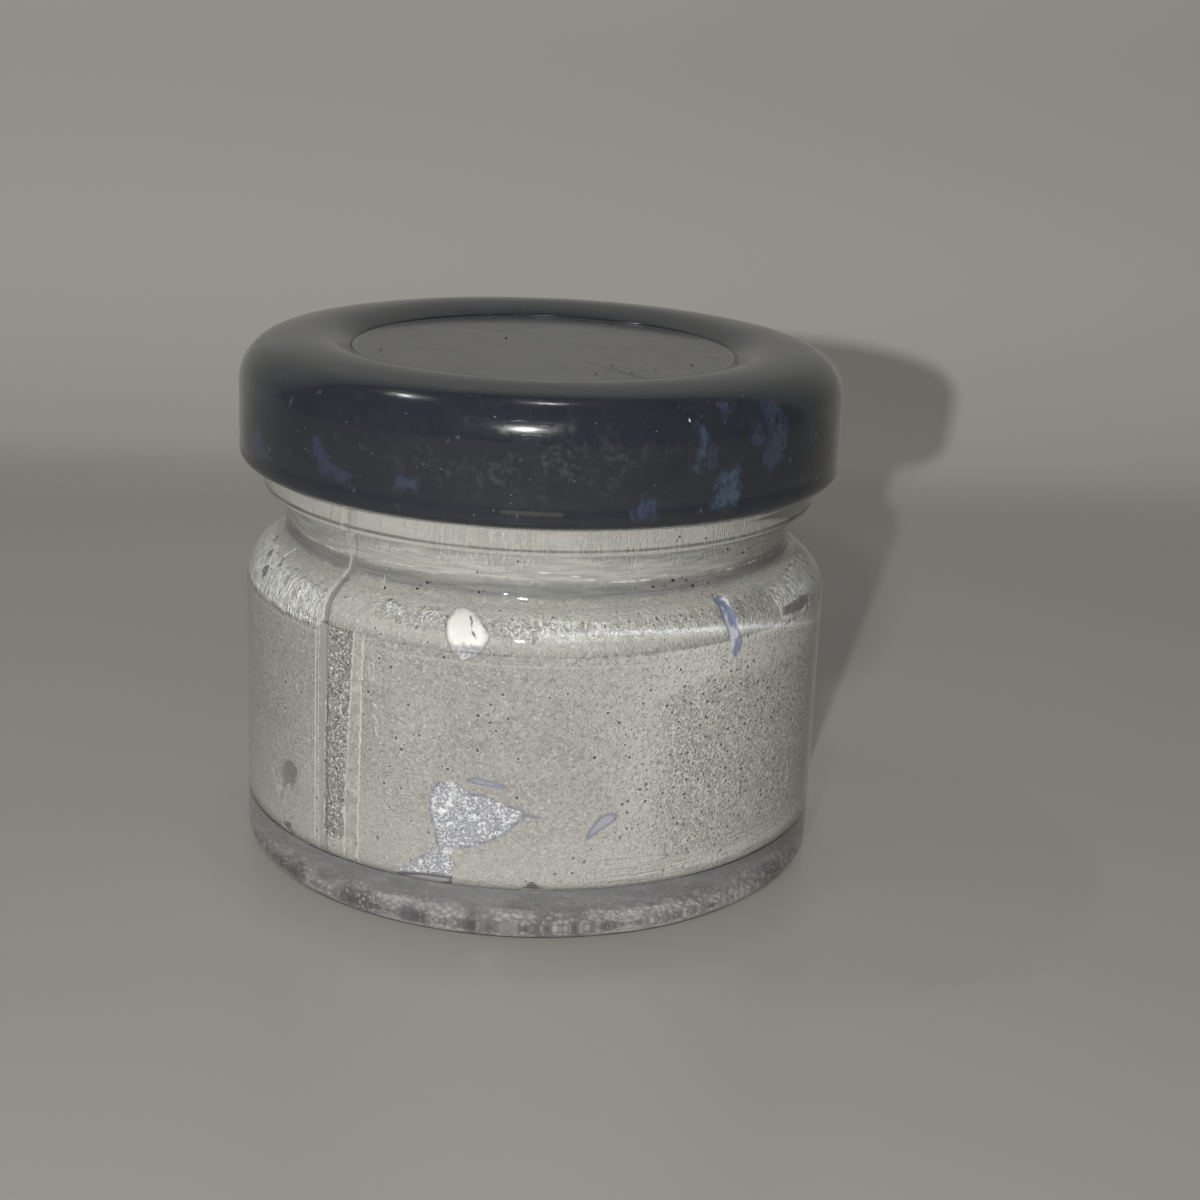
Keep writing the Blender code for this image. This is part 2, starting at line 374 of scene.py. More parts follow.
class Material:
    """A node material whose nodes are added by short calls. Cells and distances are in millimetres."""

    def __init__(self, name):
        self.material = bpy.data.materials.new(name)
        self.material.use_nodes = True
        self.tree = self.material.node_tree
        self.shader = self.tree.nodes["Principled BSDF"]
        self.output = self.tree.nodes["Material Output"]
        self.place = self.add("ShaderNodeTexCoord").outputs["Object"]

    def add(self, kind, inputs=None, **settings):
        node = self.tree.nodes.new(kind)
        for key, value in settings.items():
            setattr(node, key, value)
        for key, value in (inputs or {}).items():
            self.set(node.inputs[key], value)
        return node

    def value(self, kind, inputs, output=0, **settings):
        """Adds a node and takes one of its outputs."""
        return Value(self, self.add(kind, inputs, **settings).outputs[output])

    def set(self, socket, value):
        if isinstance(value, Value):
            value = value.socket
        if isinstance(value, bpy.types.NodeSocket):
            self.tree.links.new(value, socket)
        else:
            socket.default_value = value

    def maths(self, operation, *values):
        return self.value("ShaderNodeMath", dict(enumerate(values)), operation=operation)

    def most(self, *values):
        total = values[0]
        for value in values[1:]:
            total = self.maths("MAXIMUM", total, value)
        return total

    def mix(self, share, low, high):
        """A colour mix whose ends may be colours or values."""
        return self.value("ShaderNodeMix", {0: share, 6: low, 7: high}, 2, data_type="RGBA")

    def step(self, value, low, high, low_out=0.0, high_out=1.0):
        """An S-curve from low_out to high_out as the value goes from low to high."""
        inputs = {"Value": value, "From Min": low, "From Max": high, "To Min": low_out, "To Max": high_out}
        return self.value("ShaderNodeMapRange", inputs, interpolation_type="SMOOTHSTEP")

    def line(self, distance, width):
        """1 on a line and 0 beyond width from it."""
        return self.step(abs(distance), width / 2, width, 1.0, 0.0)

    def stretched(self, stretch):
        if stretch == (1, 1, 1):
            return self.place
        scale = tuple(1 / value for value in stretch)
        return self.value("ShaderNodeMapping", {"Vector": self.place, "Scale": scale})

    def noise(self, cell, detail=2.0, stretch=(1, 1, 1), distortion=0.0):
        """Noise from 0 to 1; stretch makes its cells longer along x, y and z."""
        inputs = {"Scale": 1 / (cell * MM), "Detail": detail, "Distortion": distortion}
        return self.value("ShaderNodeTexNoise", {"Vector": self.stretched(stretch), **inputs})

    def worms(self, cell, width, distortion=1.0, stretch=(1, 1, 1)):
        """Thin wandering lines, 1 on them and 0 between them: where a noise crosses its middle."""
        level = self.noise(cell, 1, stretch=stretch, distortion=distortion) - 0.5
        return self.step(abs(level), width / 3, width, 1.0, 0.0)

    def cells(self, cell):
        """Voronoi cells: the distance to the nearest centre, in cells, and a random value for each cell."""
        node = self.add("ShaderNodeTexVoronoi", {"Vector": self.place, "Scale": 1 / (cell * MM)})
        shade = self.value("ShaderNodeSeparateColor", {0: node.outputs["Color"]})
        return Value(self, node.outputs["Distance"]), shade

    def field(self, name):
        return self.value("ShaderNodeAttribute", {}, "Fac", attribute_name=name)

    def height(self):
        """Height in millimetres."""
        return self.value("ShaderNodeSeparateXYZ", {0: self.place}, "Z") * (1 / MM)

    def bump(self, height, depth, strength=1.0):
        """height from 0 to 1 stands for depth in millimetres."""
        inputs = {"Height": height, "Distance": depth * MM, "Strength": strength}
        return self.value("ShaderNodeBump", inputs)

    def finish(self, **inputs):
        for key, value in inputs.items():
            self.set(self.shader.inputs[key.replace("_", " ")], value)
        return self.material


def let_light_through(made, tint):
    """Lamps and the light of the room go straight through, so that what is behind is lit plainly."""
    light = made.add("ShaderNodeLightPath")
    clear = made.add("ShaderNodeBsdfTransparent", {"Color": (*tint, 1)})
    surface = made.shader.outputs[0]
    for kind in ("Is Shadow Ray", "Is Diffuse Ray"):
        mixed = made.add("ShaderNodeMixShader", {0: light.outputs[kind], 1: surface, 2: clear.outputs[0]})
        surface = mixed.outputs[0]
    made.tree.links.new(surface, made.output.inputs["Surface"])
    return made.material


def glass_material():
    """Clear glass, faintly green, with soft waves."""
    made = Material("clear_glass")
    ripple = made.noise(5.0, 2, stretch=(1, 1, 2.5))
    orange_peel = made.noise(0.9, 1)
    relief = ripple * 0.8 + orange_peel * 0.2
    haze = made.noise(7.0, 4)
    made.finish(
        Base_Color=(0.94, 0.95, 0.94, 1),
        Roughness=made.step(haze, 0.45, 0.8, 0.0, 0.06),
        IOR=1.5,
        Transmission_Weight=1.0,
        Normal=made.bump(relief, 0.05, 0.35),
    )
    return let_light_through(made, (0.97, 0.98, 0.975))


def heel_material():
    """The thick glass below the paint: dulled by scuffs and dried water, with painted shade where it stands.
    """
    made = Material("heel_glass")
    streaks = made.noise(0.45, 3, stretch=(5, 5, 1))
    clouds = made.noise(2.6, 4)
    height = made.height() + made.noise(0.6, 3) * 0.3
    painted_foot_shade = made.step(height, 0.35, 0.85)
    base = made.mix(streaks * 0.5 + clouds * 0.5,
                       colour(158, 159, 162), colour(208, 208, 208))
    # Painted shade: darker at the very foot, where the jar meets the floor.
    base = made.mix(painted_foot_shade, colour(104, 106, 112), base)
    made.finish(
        Base_Color=base,
        Roughness=made.step(clouds, 0.35, 0.7, 0.03, 0.16),
        IOR=1.5,
        Transmission_Weight=made.step(height, 1.6, 3.6, 0.92, 0.68),
        Normal=made.bump(streaks, 0.03, 0.5),
    )
    return let_light_through(made, (0.9, 0.9, 0.9))


def frosted_material():
    """The stippled underside of the jar: ground glass with a little dried paint and dust in its pits."""
    made = Material("stippled_base")
    grains, shade = made.cells(0.42)
    sparkle_distance, sparkle_shade = made.cells(0.26)
    patches = made.noise(2.6, 4)
    crumbs = made.step(grains, 0.1, 0.5, 1.0, 0.0) * made.step(shade, 0.3, 0.9)
    base = made.mix(made.step(patches, 0.38, 0.62), colour(128, 128, 128), colour(236, 234, 229))
    base = made.mix(made.step(grains, 0.3, 0.7) * 0.5, base, colour(104, 104, 106))
    base = made.mix(crumbs * made.step(patches, 0.35, 0.6), base, colour(255, 254, 250))
    sparkle = (sparkle_shade > 0.80) * made.step(sparkle_distance, 0.2, 0.5, 1.0, 0.0)
    base = made.mix(sparkle, base, colour(255, 254, 250))
    made.finish(
        Base_Color=base,
        Transmission_Weight=0.15,
        Roughness=made.step(made.noise(0.8, 3), 0.3, 0.7, 0.25, 0.55),
        Normal=made.bump(grains + patches, 0.12, 0.8),
    )
    return made.material


def paint_ground(made, density, pale):
    """Dried paint against glass: its colour and its relief from 0 to 1.

    The density is that of its dark pits, and pale is painted light: how much lighter the paint is made where
    the lamps leave it dim.
    """
    broad = made.noise(7.0, 3)
    emboss = made.noise(0.24, 2, distortion=1.3)
    brushed = made.noise(0.30, 2, stretch=(10, 10, 1))
    distance, shade = made.cells(0.40)
    wanted = density > shade
    size = made.step(shade / made.most(density, 0.05), 0.0, 1.0, 0.36, 0.20)
    reach = distance / size
    pit = wanted * made.step(reach, 0.6, 1.0, 1.0, 0.0)
    pit_rim_highlight = wanted * made.step(reach, 0.95, 1.15) * made.step(reach, 1.25, 1.55, 1.0, 0.0)
    crawl = made.worms(0.34, 0.08) * made.step(density, 0.22, 0.55)
    base = made.mix(made.step(broad, 0.3, 0.7), paint(164, 161, 156), paint(176, 173, 167))
    # Painted light: the paint is lighter where the pits are dense, on the right side, and lighter still by
    # pale.
    base = made.mix(made.step(density, 0.15, 0.6) * 0.5, base, paint(204, 201, 195))
    base = made.mix(pale, base, paint(226, 223, 216))
    # Painted shade and light of the relief: darker where the emboss sinks, lighter where it rises.
    base = made.mix(made.step(emboss, 0.50, 0.32) * 0.75, base, paint(132, 129, 126))
    base = made.mix(made.step(emboss, 0.56, 0.68) * 0.6, base, paint(208, 205, 199))
    base = made.mix(made.step(brushed, 0.60, 0.78) * 0.3, base, paint(194, 191, 186))
    # Painted shade in the worm-like grooves and in the pits, and a painted highlight round the pits' rims.
    base = made.mix(crawl * 0.4, base, paint(118, 116, 113))
    base = made.mix(pit_rim_highlight * 0.45, base, paint(222, 219, 213))
    base = made.mix(pit * 0.78, base, paint(88, 86, 84))
    relief = emboss * 0.8 + brushed * 0.25 - pit * 0.8 - crawl * 0.45
    return base, relief


def fibrous_crust(made, base, relief, mottle):
    """White fibrous crust, where the crust field says, over a ground."""
    fibre = made.noise(0.30, 3, stretch=(1, 1, 3), distortion=1.4)
    strands = made.worms(0.62, 0.08, distortion=1.6, stretch=(1, 1, 2.2))
    crust = made.step(made.field("crust") + mottle * 1.3, 0.30, 0.85)
    crusted = made.mix(made.step(fibre, 0.38, 0.60), paint(188, 184, 175), paint(255, 252, 244))
    crusted = made.mix(strands, crusted, paint(255, 253, 246))
    base = made.mix(crust, base, crusted)
    return base, relief + crust * fibre * 1.4 + crust * strands * 0.8


def ridge_and_highlight(made, base, wobble):
    """A thin white line along the shoulder in a soft lighter band: partly a ridge of paint, partly painted
    highlight where the shoulder catches the light.
    """
    crest = made.field("crest") + wobble * 0.5
    glow = made.step(abs(crest), 0.0, 0.50, 0.55, 0.0)
    ridge = made.most(made.line(crest, 0.14), glow) * made.field("crest_share")
    return made.mix(ridge, base, paint(255, 253, 246))


def glossy_marks(made, base, wobble):
    """The window of white over lilac and the lilac drip with painted highlights: the colour with them, and
    where they are.
    """
    window_field = made.field("window") + wobble * 0.9
    window = made.step(window_field, -0.04, 0.06)
    lower = made.step(made.height() + wobble * 1.2, 21.35, 21.6)
    creased = made.mix(made.worms(0.5, 0.07), paint(170, 168, 172), paint(206, 204, 207))
    whites = made.mix(made.step(window_field, 0.05, 0.35), paint(206, 203, 200), paint(242, 239, 234))
    glossy = made.mix(lower, creased, whites)
    base = made.mix(window, base, glossy)
    base = made.mix(made.line(window_field, 0.09) * 0.5, base, paint(128, 126, 129))
    base = made.mix(made.line(made.field("mark"), 0.10) * 0.9, base, paint(100, 98, 96))
    drip_field = made.field("drip") + wobble * 0.15
    drip = made.step(drip_field, -0.04, 0.06)
    # Painted highlights: white streaks down the lilac drip.
    streaks = made.step(made.noise(0.8, 2, stretch=(1, 1, 3)), 0.46, 0.58)
    drip_with_highlights = made.mix(streaks, paint(142, 144, 172), paint(222, 222, 232))
    base = made.mix(drip, base, drip_with_highlights)
    return base, made.most(window, drip)


def paint_mass_material():
    """The paint seen through the wall of the jar, with its runs, torn patches and pits."""
    made = Material("paint")
    base, relief = paint_ground(made, made.field("pits"), made.field("pale") * 0.78)
    mottle = made.noise(0.8, 4) - 0.5
    wobble = (made.noise(0.45, 3) - 0.5) * 0.5
    height = made.height()
    # Painted light: the paint is lighter towards the bottom.
    base = made.mix(made.step(height, 3.5, 13.0, 0.3, 0.0), base, paint(204, 201, 195))

    # The faint old level line, and strokes of a brush low on the right.
    level = height - 20.45 + wobble * 0.5
    base = made.mix(made.line(level, 0.12) * 0.35, base, paint(200, 200, 194))
    stroke_noise = made.noise(0.22, 2, stretch=(26, 26, 1), distortion=0.3)
    strokes = made.step(stroke_noise, 0.52, 0.60) * made.field("swept")
    base = made.mix(strokes * 0.25, base, paint(206, 203, 197))
    relief = relief + strokes * 0.35
    base, relief = fibrous_crust(made, base, relief, mottle)
    # Painted highlight along the shoulder, over a ridge of paint.
    base = ridge_and_highlight(made, base, wobble)

    # The vertical run: scored lines, a smooth channel, a coarse dark band and a light wavy band.
    seam = made.field("seam") + wobble * 0.15
    channel = made.step(made.field("channel"), -0.05, 0.12)
    base = made.mix(channel * 0.85, base, paint(158, 155, 151))
    relief = made.mix(channel, relief, (0.45, 0.45, 0.45, 1))
    net = made.worms(0.30, 0.085, distortion=1.6, stretch=(1, 1, 1.4))
    knots = made.step(made.noise(0.26, 1, distortion=0.6), 0.54, 0.64)
    grain_field = made.field("grain") + wobble * 1.1
    grain = made.step(grain_field, -0.05, 0.12)
    hollows = made.step(made.noise(0.40, 2), 0.35, 0.62)
    coarse = made.mix(hollows, paint(108, 104, 104), paint(158, 154, 151))
    coarse = made.mix(made.most(net, knots) * 0.85, coarse, paint(222, 219, 214))
    base = made.mix(grain, base, coarse)
    relief = made.mix(grain, relief, made.most(net, knots) * 1.7)
    band_field = made.field("band") + wobble * 0.9
    band = made.step(band_field, -0.05, 0.12)
    rings = made.worms(0.55, 0.06) * 0.5
    banded = made.mix(made.step(made.noise(0.7, 3), 0.35, 0.7), paint(172, 169, 161), paint(196, 193, 185))
    banded = made.mix(rings, banded, paint(140, 137, 132))
    base = made.mix(band, base, banded)
    lines = made.most(
        made.line(seam + 1.52, 0.07) * 0.75,
        made.line(seam + 1.2, 0.06) * 0.5,
        made.line(grain_field, 0.08) * 0.8,
        made.line(band_field, 0.09) * 0.7,
    )
    lines = lines * made.field("run")
    base = made.mix(lines, base, paint(224, 221, 215))
    shade = made.line(seam + 0.28, 0.12) * made.field("run") * 0.55
    base = made.mix(shade, base, paint(104, 102, 100))

    # Patches of an older lilac skin, crumpled like foil, with a darker edge in places.
    patch_field = made.field("patch") + wobble * 1.3
    patch = made.step(patch_field, -0.04, 0.06)
    # Painted light and shade of the crumples: lighter and darker facets, bright creases and white sparkles on
    # the lilac skin.
    facets = made.step(made.noise(0.42, 3, distortion=1.6), 0.38, 0.60)
    creases = made.worms(0.30, 0.08, distortion=2.0)
    speck_distance, speck_shade = made.cells(0.24)
    sparkle = (speck_shade > 0.93) * made.step(speck_distance, 0.25, 0.5, 1.0, 0.0)
    foil = made.mix(facets, paint(190, 190, 198), paint(222, 221, 226))
    foil = made.mix(creases * 0.5, foil, paint(240, 239, 244))
    foil = made.mix(sparkle, foil, paint(255, 254, 255))
    base = made.mix(patch, base, foil)
    edge = made.line(patch_field - 0.02, 0.17) * made.step(made.noise(1.4, 1), 0.46, 0.58)
    base = made.mix(edge * 0.6, base, paint(142, 143, 160))
    relief = made.mix(patch, relief, made.most(facets, creases) * 0.8)

    # Lilac and blue strokes, white curls, and grey spots where the paint has let go.
    stroke_field = made.field("stroke") + wobble * 0.3
    stroke = made.step(stroke_field, -0.04, 0.08)
    stroked = made.mix(made.step(stroke_field, 0.08, 0.3), paint(126, 128, 147), paint(166, 166, 176))
    base = made.mix(stroke * 0.85, base, stroked)
    curl = made.line(made.field("curl") + wobble * 0.2, 0.10)
    base = made.mix(curl * 0.5, base, paint(222, 220, 219))
    scratch = made.line(made.field("scratch") + wobble * 0.2, 0.08)
    base = made.mix(scratch * 0.7, base, paint(112, 110, 106))
    spot_field = made.field("spot") + wobble * 0.3
    spot = made.step(spot_field, -0.04, 0.05)
    base = made.mix(spot, base, paint(124, 123, 123))
    lens_field = made.field("lens") + wobble * 0.12
    lens = made.step(lens_field, -0.04, 0.05)
    clear = made.mix(made.step(lens_field, 0.12, 0.30), paint(112, 109, 116), paint(176, 171, 174))
    base = made.mix(lens, base, clear)
    base = made.mix(made.line(spot_field, 0.09) * 0.5, base, paint(186, 185, 182))
    base, glossy = glossy_marks(made, base, wobble)
    relief = made.mix(made.most(spot, stroke, lens, glossy), relief, (0.4, 0.4, 0.4, 1))
    made.finish(
        Base_Color=base,
        Roughness=made.step(made.noise(1.2, 3), 0.3, 0.7, 0.42, 0.62),
        Specular_IOR_Level=0.25,
        Normal=made.bump(relief, PAINT_BUMP),
    )
    return made.material


def paint_coat_material():
    """The film and crust of paint on the shoulder and in the neck."""
    made = Material("paint_film")
    ground, relief = paint_ground(made, made.field("pits"), 0.0)
    mottle = made.noise(0.8, 4) - 0.5
    wobble = (made.noise(0.45, 3) - 0.5) * 0.5
    height = made.height()
    sunlit = made.step(height, 21.1, 21.8) * made.step(height, 23.1, 23.9, 1.0, 0.0)
    base = made.mix(sunlit * 0.35, ground, paint(216, 213, 205))

    # The neck: a grey film with fine level streaks, paler higher up, then a dark line and a bright bead.
    film = made.step(made.noise(0.22, 3, stretch=(12, 12, 1), distortion=0.4), 0.36, 0.64)
    grey = made.mix(film, paint(114, 113, 113), paint(134, 132, 130))
    pale = made.mix(film, paint(156, 153, 151), paint(182, 179, 175))
    low_neck = made.step(height + mottle * 0.8, 23.7, 24.6)
    high_neck = made.step(height + mottle * 0.5, 25.4, 26.0)
    base = made.mix(low_neck * 0.9, base, made.mix(high_neck, grey, pale))
    bead = made.step(height, 28.30, 28.42)
    base = made.mix(bead * 0.7, base, paint(214, 211, 205))
    base = made.mix(made.line(height - 28.18, 0.2) * 0.6, base, paint(98, 96, 95))
    comb_noise = made.noise(0.15, 3, stretch=(1, 1, 5), distortion=0.8)
    neck_comb = made.field("comb") * made.step(made.noise(3.0, 2), 0.42, 0.6) * 0.62
    comb = made.most(neck_comb, made.field("teeth"))
    teeth = made.step(comb_noise, 0.40, 0.62)
    base = made.mix(comb * (1.0 - teeth) * 0.34, base, paint(128, 126, 124))
    base = made.mix(comb * teeth * 0.38, base, paint(226, 223, 217))
    base, relief = fibrous_crust(made, base, relief, mottle)
    relief = relief + comb * teeth * 0.6

    # The ridge with its painted highlight, the foam near it, cracks, bubbles and the run's channel.
    base = ridge_and_highlight(made, base, wobble)
    foam = made.worms(0.55, 0.09, distortion=0.5) * made.field("foam")
    base = made.mix(foam * 0.9, base, paint(252, 249, 238))
    crack = made.line(made.field("crack") + wobble * 0.45, 0.09)
    crack = crack * made.step(made.noise(2.2, 2), 0.34, 0.56) * 0.6
    base = made.mix(crack, base, paint(232, 229, 221))
    split_edge = made.line(made.field("split") + wobble * 0.4, 0.16)
    base = made.mix(split_edge, base, paint(255, 253, 246))
    ring = made.line(made.field("bubble") + wobble * 0.9, 0.08)
    base = made.mix(ring * 0.35, base, paint(128, 125, 122))
    # Painted shade: the gaps in the coat are not cut, and their dark stands for the shaded inside of the jar.
    painted_hole_shade = made.step(made.field("painted_hole_shade") + wobble * 0.8, -0.05, 0.06)
    base = made.mix(painted_hole_shade * 0.85, base, paint(122, 119, 114))
    channel_field = made.field("channel") + wobble * 0.2
    channel = made.step(channel_field, -0.05, 0.1)
    base = made.mix(channel * 0.8, base, paint(134, 132, 129))
    base = made.mix(made.line(channel_field, 0.08) * 0.5, base, paint(214, 211, 206))
    base, glossy = glossy_marks(made, base, wobble)
    smoothed = made.most(glossy, channel, low_neck * 0.6)
    relief = made.mix(smoothed, relief, (0.5, 0.5, 0.5, 1))
    made.finish(
        Base_Color=base,
        Roughness=made.step(smoothed, 0.0, 1.0, 0.5, 0.25),
        Specular_IOR_Level=0.3,
        Normal=made.bump(relief, PAINT_BUMP),
    )
    return made.material


def lacquer_material():
    """Gloss black lacquer with fine scuffs, dust and dried smears of blue and violet paint."""
    made = Material("black_lacquer")
    cloud = made.noise(3.5, 4)
    grain = made.noise(0.25, 2)
    base = made.mix(cloud, (0.017, 0.020, 0.027, 1), (0.027, 0.030, 0.037, 1))
    scuff = made.step(made.noise(1.3, 5), 0.55, 0.8) * made.step(made.noise(9.0, 2), 0.4, 0.7)
    base = made.mix(scuff * 0.35, base, (0.075, 0.078, 0.085, 1))
    dry = made.step(made.noise(0.35, 4, stretch=(1, 1, 2.2), distortion=0.9), 0.36, 0.62)
    soft = made.step(made.noise(0.9, 4), 0.3, 0.6)
    cover = {
        "smear_sky": (paint(74, 92, 112), 0.68),
        "smear_blue": (paint(62, 75, 98), 0.66),
        "smear_violet": (paint(66, 62, 92), 0.75),
    }
    wobble = (made.noise(0.8, 4) - 0.5) * 1.4
    smeared = 0.0
    for name, (tone, most) in cover.items():
        field = made.field(name) + wobble
        share = made.step(field, -0.45, 0.35) * made.most(soft * 0.75, dry) * most
        base = made.mix(share, base, tone)
        smeared = made.most(smeared, share)
    dust_distance, dust_shade = made.cells(0.6)
    dusty = dust_shade > made.step(made.noise(6.0, 2), 0.35, 0.7, 0.93, 0.55)
    dust = dusty * made.step(dust_distance, 0.05, 0.12, 1.0, 0.0)
    base = made.mix(dust * 0.5, base, (0.30, 0.29, 0.28, 1))
    nicks = made.worms(0.8, 0.035, stretch=(1, 1, 3)) * made.step(made.noise(1.2, 2), 0.64, 0.72)
    base = made.mix(nicks * 0.3, base, (0.20, 0.20, 0.21, 1))
    # A grey haze on the front of the skirt: partly dust, partly painted sheen round the highlight.
    clouds = made.step(made.noise(0.45, 5), 0.44, 0.66) * made.step(made.noise(2.4, 3), 0.36, 0.6)
    base = made.mix(made.field("dusty") * clouds * 0.5, base, (0.085, 0.086, 0.088, 1))
    # Painted highlight: a thin light line round the edge of the panel.
    base = made.mix(made.line(made.field("rim"), 0.12) * 0.45, base, (0.16, 0.16, 0.165, 1))
    # Painted glint: a faint warm line along the crease above the curl, on the front.
    painted_glint = made.line(made.field("painted_glint") + wobble * 0.1, 0.22)
    base = made.mix(painted_glint * 0.26, base, (0.16, 0.135, 0.105, 1))
    base = made.mix(made.line(made.field("fleck"), 0.16), base, (0.75, 0.75, 0.74, 1))
    scratch = made.step(made.noise(0.12, 1, stretch=(14, 14, 1), distortion=0.2), 0.66, 0.72)
    scratch = scratch * made.step(made.noise(4.0, 2), 0.5, 0.7)
    rough = made.step(cloud, 0.3, 0.7, 0.13, 0.21) + scuff * 0.18 + scratch * 0.12
    rough = rough + smeared * 0.30 + dust * 0.4
    relief = smeared * grain * 1.4 + dust * 1.0 - scratch * 0.3
    made.finish(
        Base_Color=base,
        Roughness=rough,
        IOR=1.5,
        Coat_Weight=0.4,
        Coat_Roughness=0.08,
        Coat_IOR=1.5,
        Normal=made.bump(relief, 0.02, 0.7),
    )
    return made.material


def gold_material():
    """Clear gold lacquer on the bare tinplate inside the lid."""
    made = Material("gold_lacquer")
    cloud = made.noise(2.5, 4)
    rolled = made.noise(0.2, 2, stretch=(30, 1, 1))
    base = made.mix(cloud, (0.62, 0.43, 0.17, 1), (0.74, 0.55, 0.25, 1))
    made.finish(
        Base_Color=base,
        Metallic=0.9,
        Roughness=made.step(rolled, 0.3, 0.7, 0.24, 0.36),
        Normal=made.bump(rolled, 0.01, 0.5),
    )
    return made.material


def compound_material():
    """Off-white sealing compound, slightly grainy, with the print of the rim."""
    made = Material("sealing_compound")
    grain = made.noise(0.35, 3)
    broad = made.noise(3.0, 2)
    base = made.mix(broad, (0.70, 0.68, 0.62, 1), (0.78, 0.77, 0.72, 1))
    base = made.mix(made.step(grain, 0.55, 0.75), base, (0.62, 0.60, 0.55, 1))
    made.finish(
        Base_Color=base,
        Roughness=made.step(broad, 0.3, 0.7, 0.45, 0.6),
        Normal=made.bump(grain, 0.04, 0.6),
    )
    return made.material


def dust_material():
    made = Material("dark_dust")
    base = made.mix(made.noise(0.1, 2), (0.012, 0.012, 0.012, 1), (0.05, 0.045, 0.04, 1))
    return made.finish(Base_Color=base, Roughness=0.8)


# ---------------------------------------------------------------- the glass

def thread_relief(azimuth, height):
    """How far the four helical ribs stand out of the finish."""
    relief = np.zeros(azimuth.shape)
    for start in range(STARTS):
        turn = (azimuth - start * 360 / STARTS + 180) % 360 - 180
        off = height - RIB_Z - LEAD * turn / 360
        ends = between(turn, RIB_START, RIB_START + RIB_TAPER, RIB_END - RIB_TAPER, RIB_END)
        bar = RIB_OFFSET + np.sqrt(np.maximum(RIB_RADIUS**2 - off**2, 0))
        relief = np.maximum(relief, np.where(np.abs(off) < RIB_RADIUS, bar * ends, 0))
    return relief


def make_jar_glass():
    inside = split([(0.0, FLOOR_Z), (INSIDE_RADIUS - FLOOR_CORNER, FLOOR_Z)], 2.0)[:-1]
    inside += arc((INSIDE_RADIUS - FLOOR_CORNER, FLOOR_Z + FLOOR_CORNER), FLOOR_CORNER, 270, 360, 8)
    inside += inner_wall(0.0)
    rim = arc((BORE_RADIUS + RIM_ROUND, RIM_Z - RIM_ROUND), RIM_ROUND, 180, 90, 5)
    rim += arc((FINISH_RADIUS - RIM_ROUND, RIM_Z - RIM_ROUND), RIM_ROUND, 90, 0, 5)
    finish = split([rim[-1], (FINISH_RADIUS, BEAD_HIGH_Z)], 0.22)[1:]
    middle = (BEAD_LOW_Z + BEAD_HIGH_Z) / 2
    bead = arc((BEAD_RADIUS - BEAD_ROUND, middle + BEAD_ROUND), BEAD_ROUND, 60, 0, 5)
    bead += arc((BEAD_RADIUS - BEAD_ROUND, middle - BEAD_ROUND), BEAD_ROUND, 0, -60, 5)
    bead += arc((NECK_RADIUS + BEAD_ROUND, BEAD_LOW_Z - BEAD_ROUND / 2), BEAD_ROUND, 120, 180, 5)
    outside = shoulder(BODY_RADIUS, NECK_RADIUS, SHOULDER_Z, SHOULDER_ROUND, NECK_FILLET)[::-1]
    heel = [(BODY_RADIUS, HEEL_TOP_Z)] + arc((BODY_RADIUS - HEEL_ROUND, HEEL_ROUND), HEEL_ROUND, 0, -90, 10)
    ring = split([heel[-1], (RING_INNER_RADIUS, 0.0)], 0.3)[1:]
    push_up = split([ring[-1], (PUSH_UP_RADIUS, PUSH_UP_Z), (0.0, PUSH_UP_Z)], 0.7)[1:]
    profile = split(inside + rim, 1.2) + finish + split(bead + outside + heel, 0.8) + ring + push_up
    turned = Turned(profile, JAR_COLUMNS)
    noise = Lattice(JAR_SEED)
    places = turned.points()
    outer = turned.radius > BORE_RADIUS + RIM_ROUND
    outer &= turned.normal[..., 0] > 0.05
    wave = noise(places, 8.0) * 0.02 + noise(places, (2.5, 2.5, 9.0)) * 0.008 - 0.02
    amount = np.where(outer & (turned.height < BEAD_LOW_Z), wave, 0)
    on_finish = (turned.height > BEAD_HIGH_Z) & outer & (turned.height < RIM_Z - 0.2)
    amount = amount + np.where(on_finish, thread_relief(turned.azimuth, turned.height), 0)
    under = (turned.height < PUSH_UP_Z + 0.01) & (turned.normal[..., 1] < -0.3)
    under &= turned.radius < BODY_RADIUS - HEEL_ROUND + 0.1
    heel_zone = (turned.height < HEEL_TOP_Z + 0.01) & ~under & (turned.radius > INSIDE_RADIUS + 0.1)
    stipple = np.abs(noise(places, 0.8)) * 0.10 + (noise(places, 2.6) + 1) * 0.06
    ridges = 0.10 * np.maximum(0, np.sin(np.radians(turned.azimuth) * 90))
    on_ring = smooth(turned.radius, RING_INNER_RADIUS - 1, RING_INNER_RADIUS)
    amount = amount - np.where(under, stipple + ridges * on_ring, 0)
    turned.push(amount)
    rows, columns = turned.radius.shape
    stippled, dulled = (zone[:-1] & zone[1:] for zone in (under, heel_zone))
    materials = [glass_material(), frosted_material(), heel_material()]
    face_materials = np.where(stippled, 1, np.where(dulled, 2, 0))
    obj = turned_object("jar_glass", turned, materials, face_materials=face_materials)
    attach(obj, "jar")
    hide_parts("glass_jar")


# ---------------------------------------------------------------- the paint

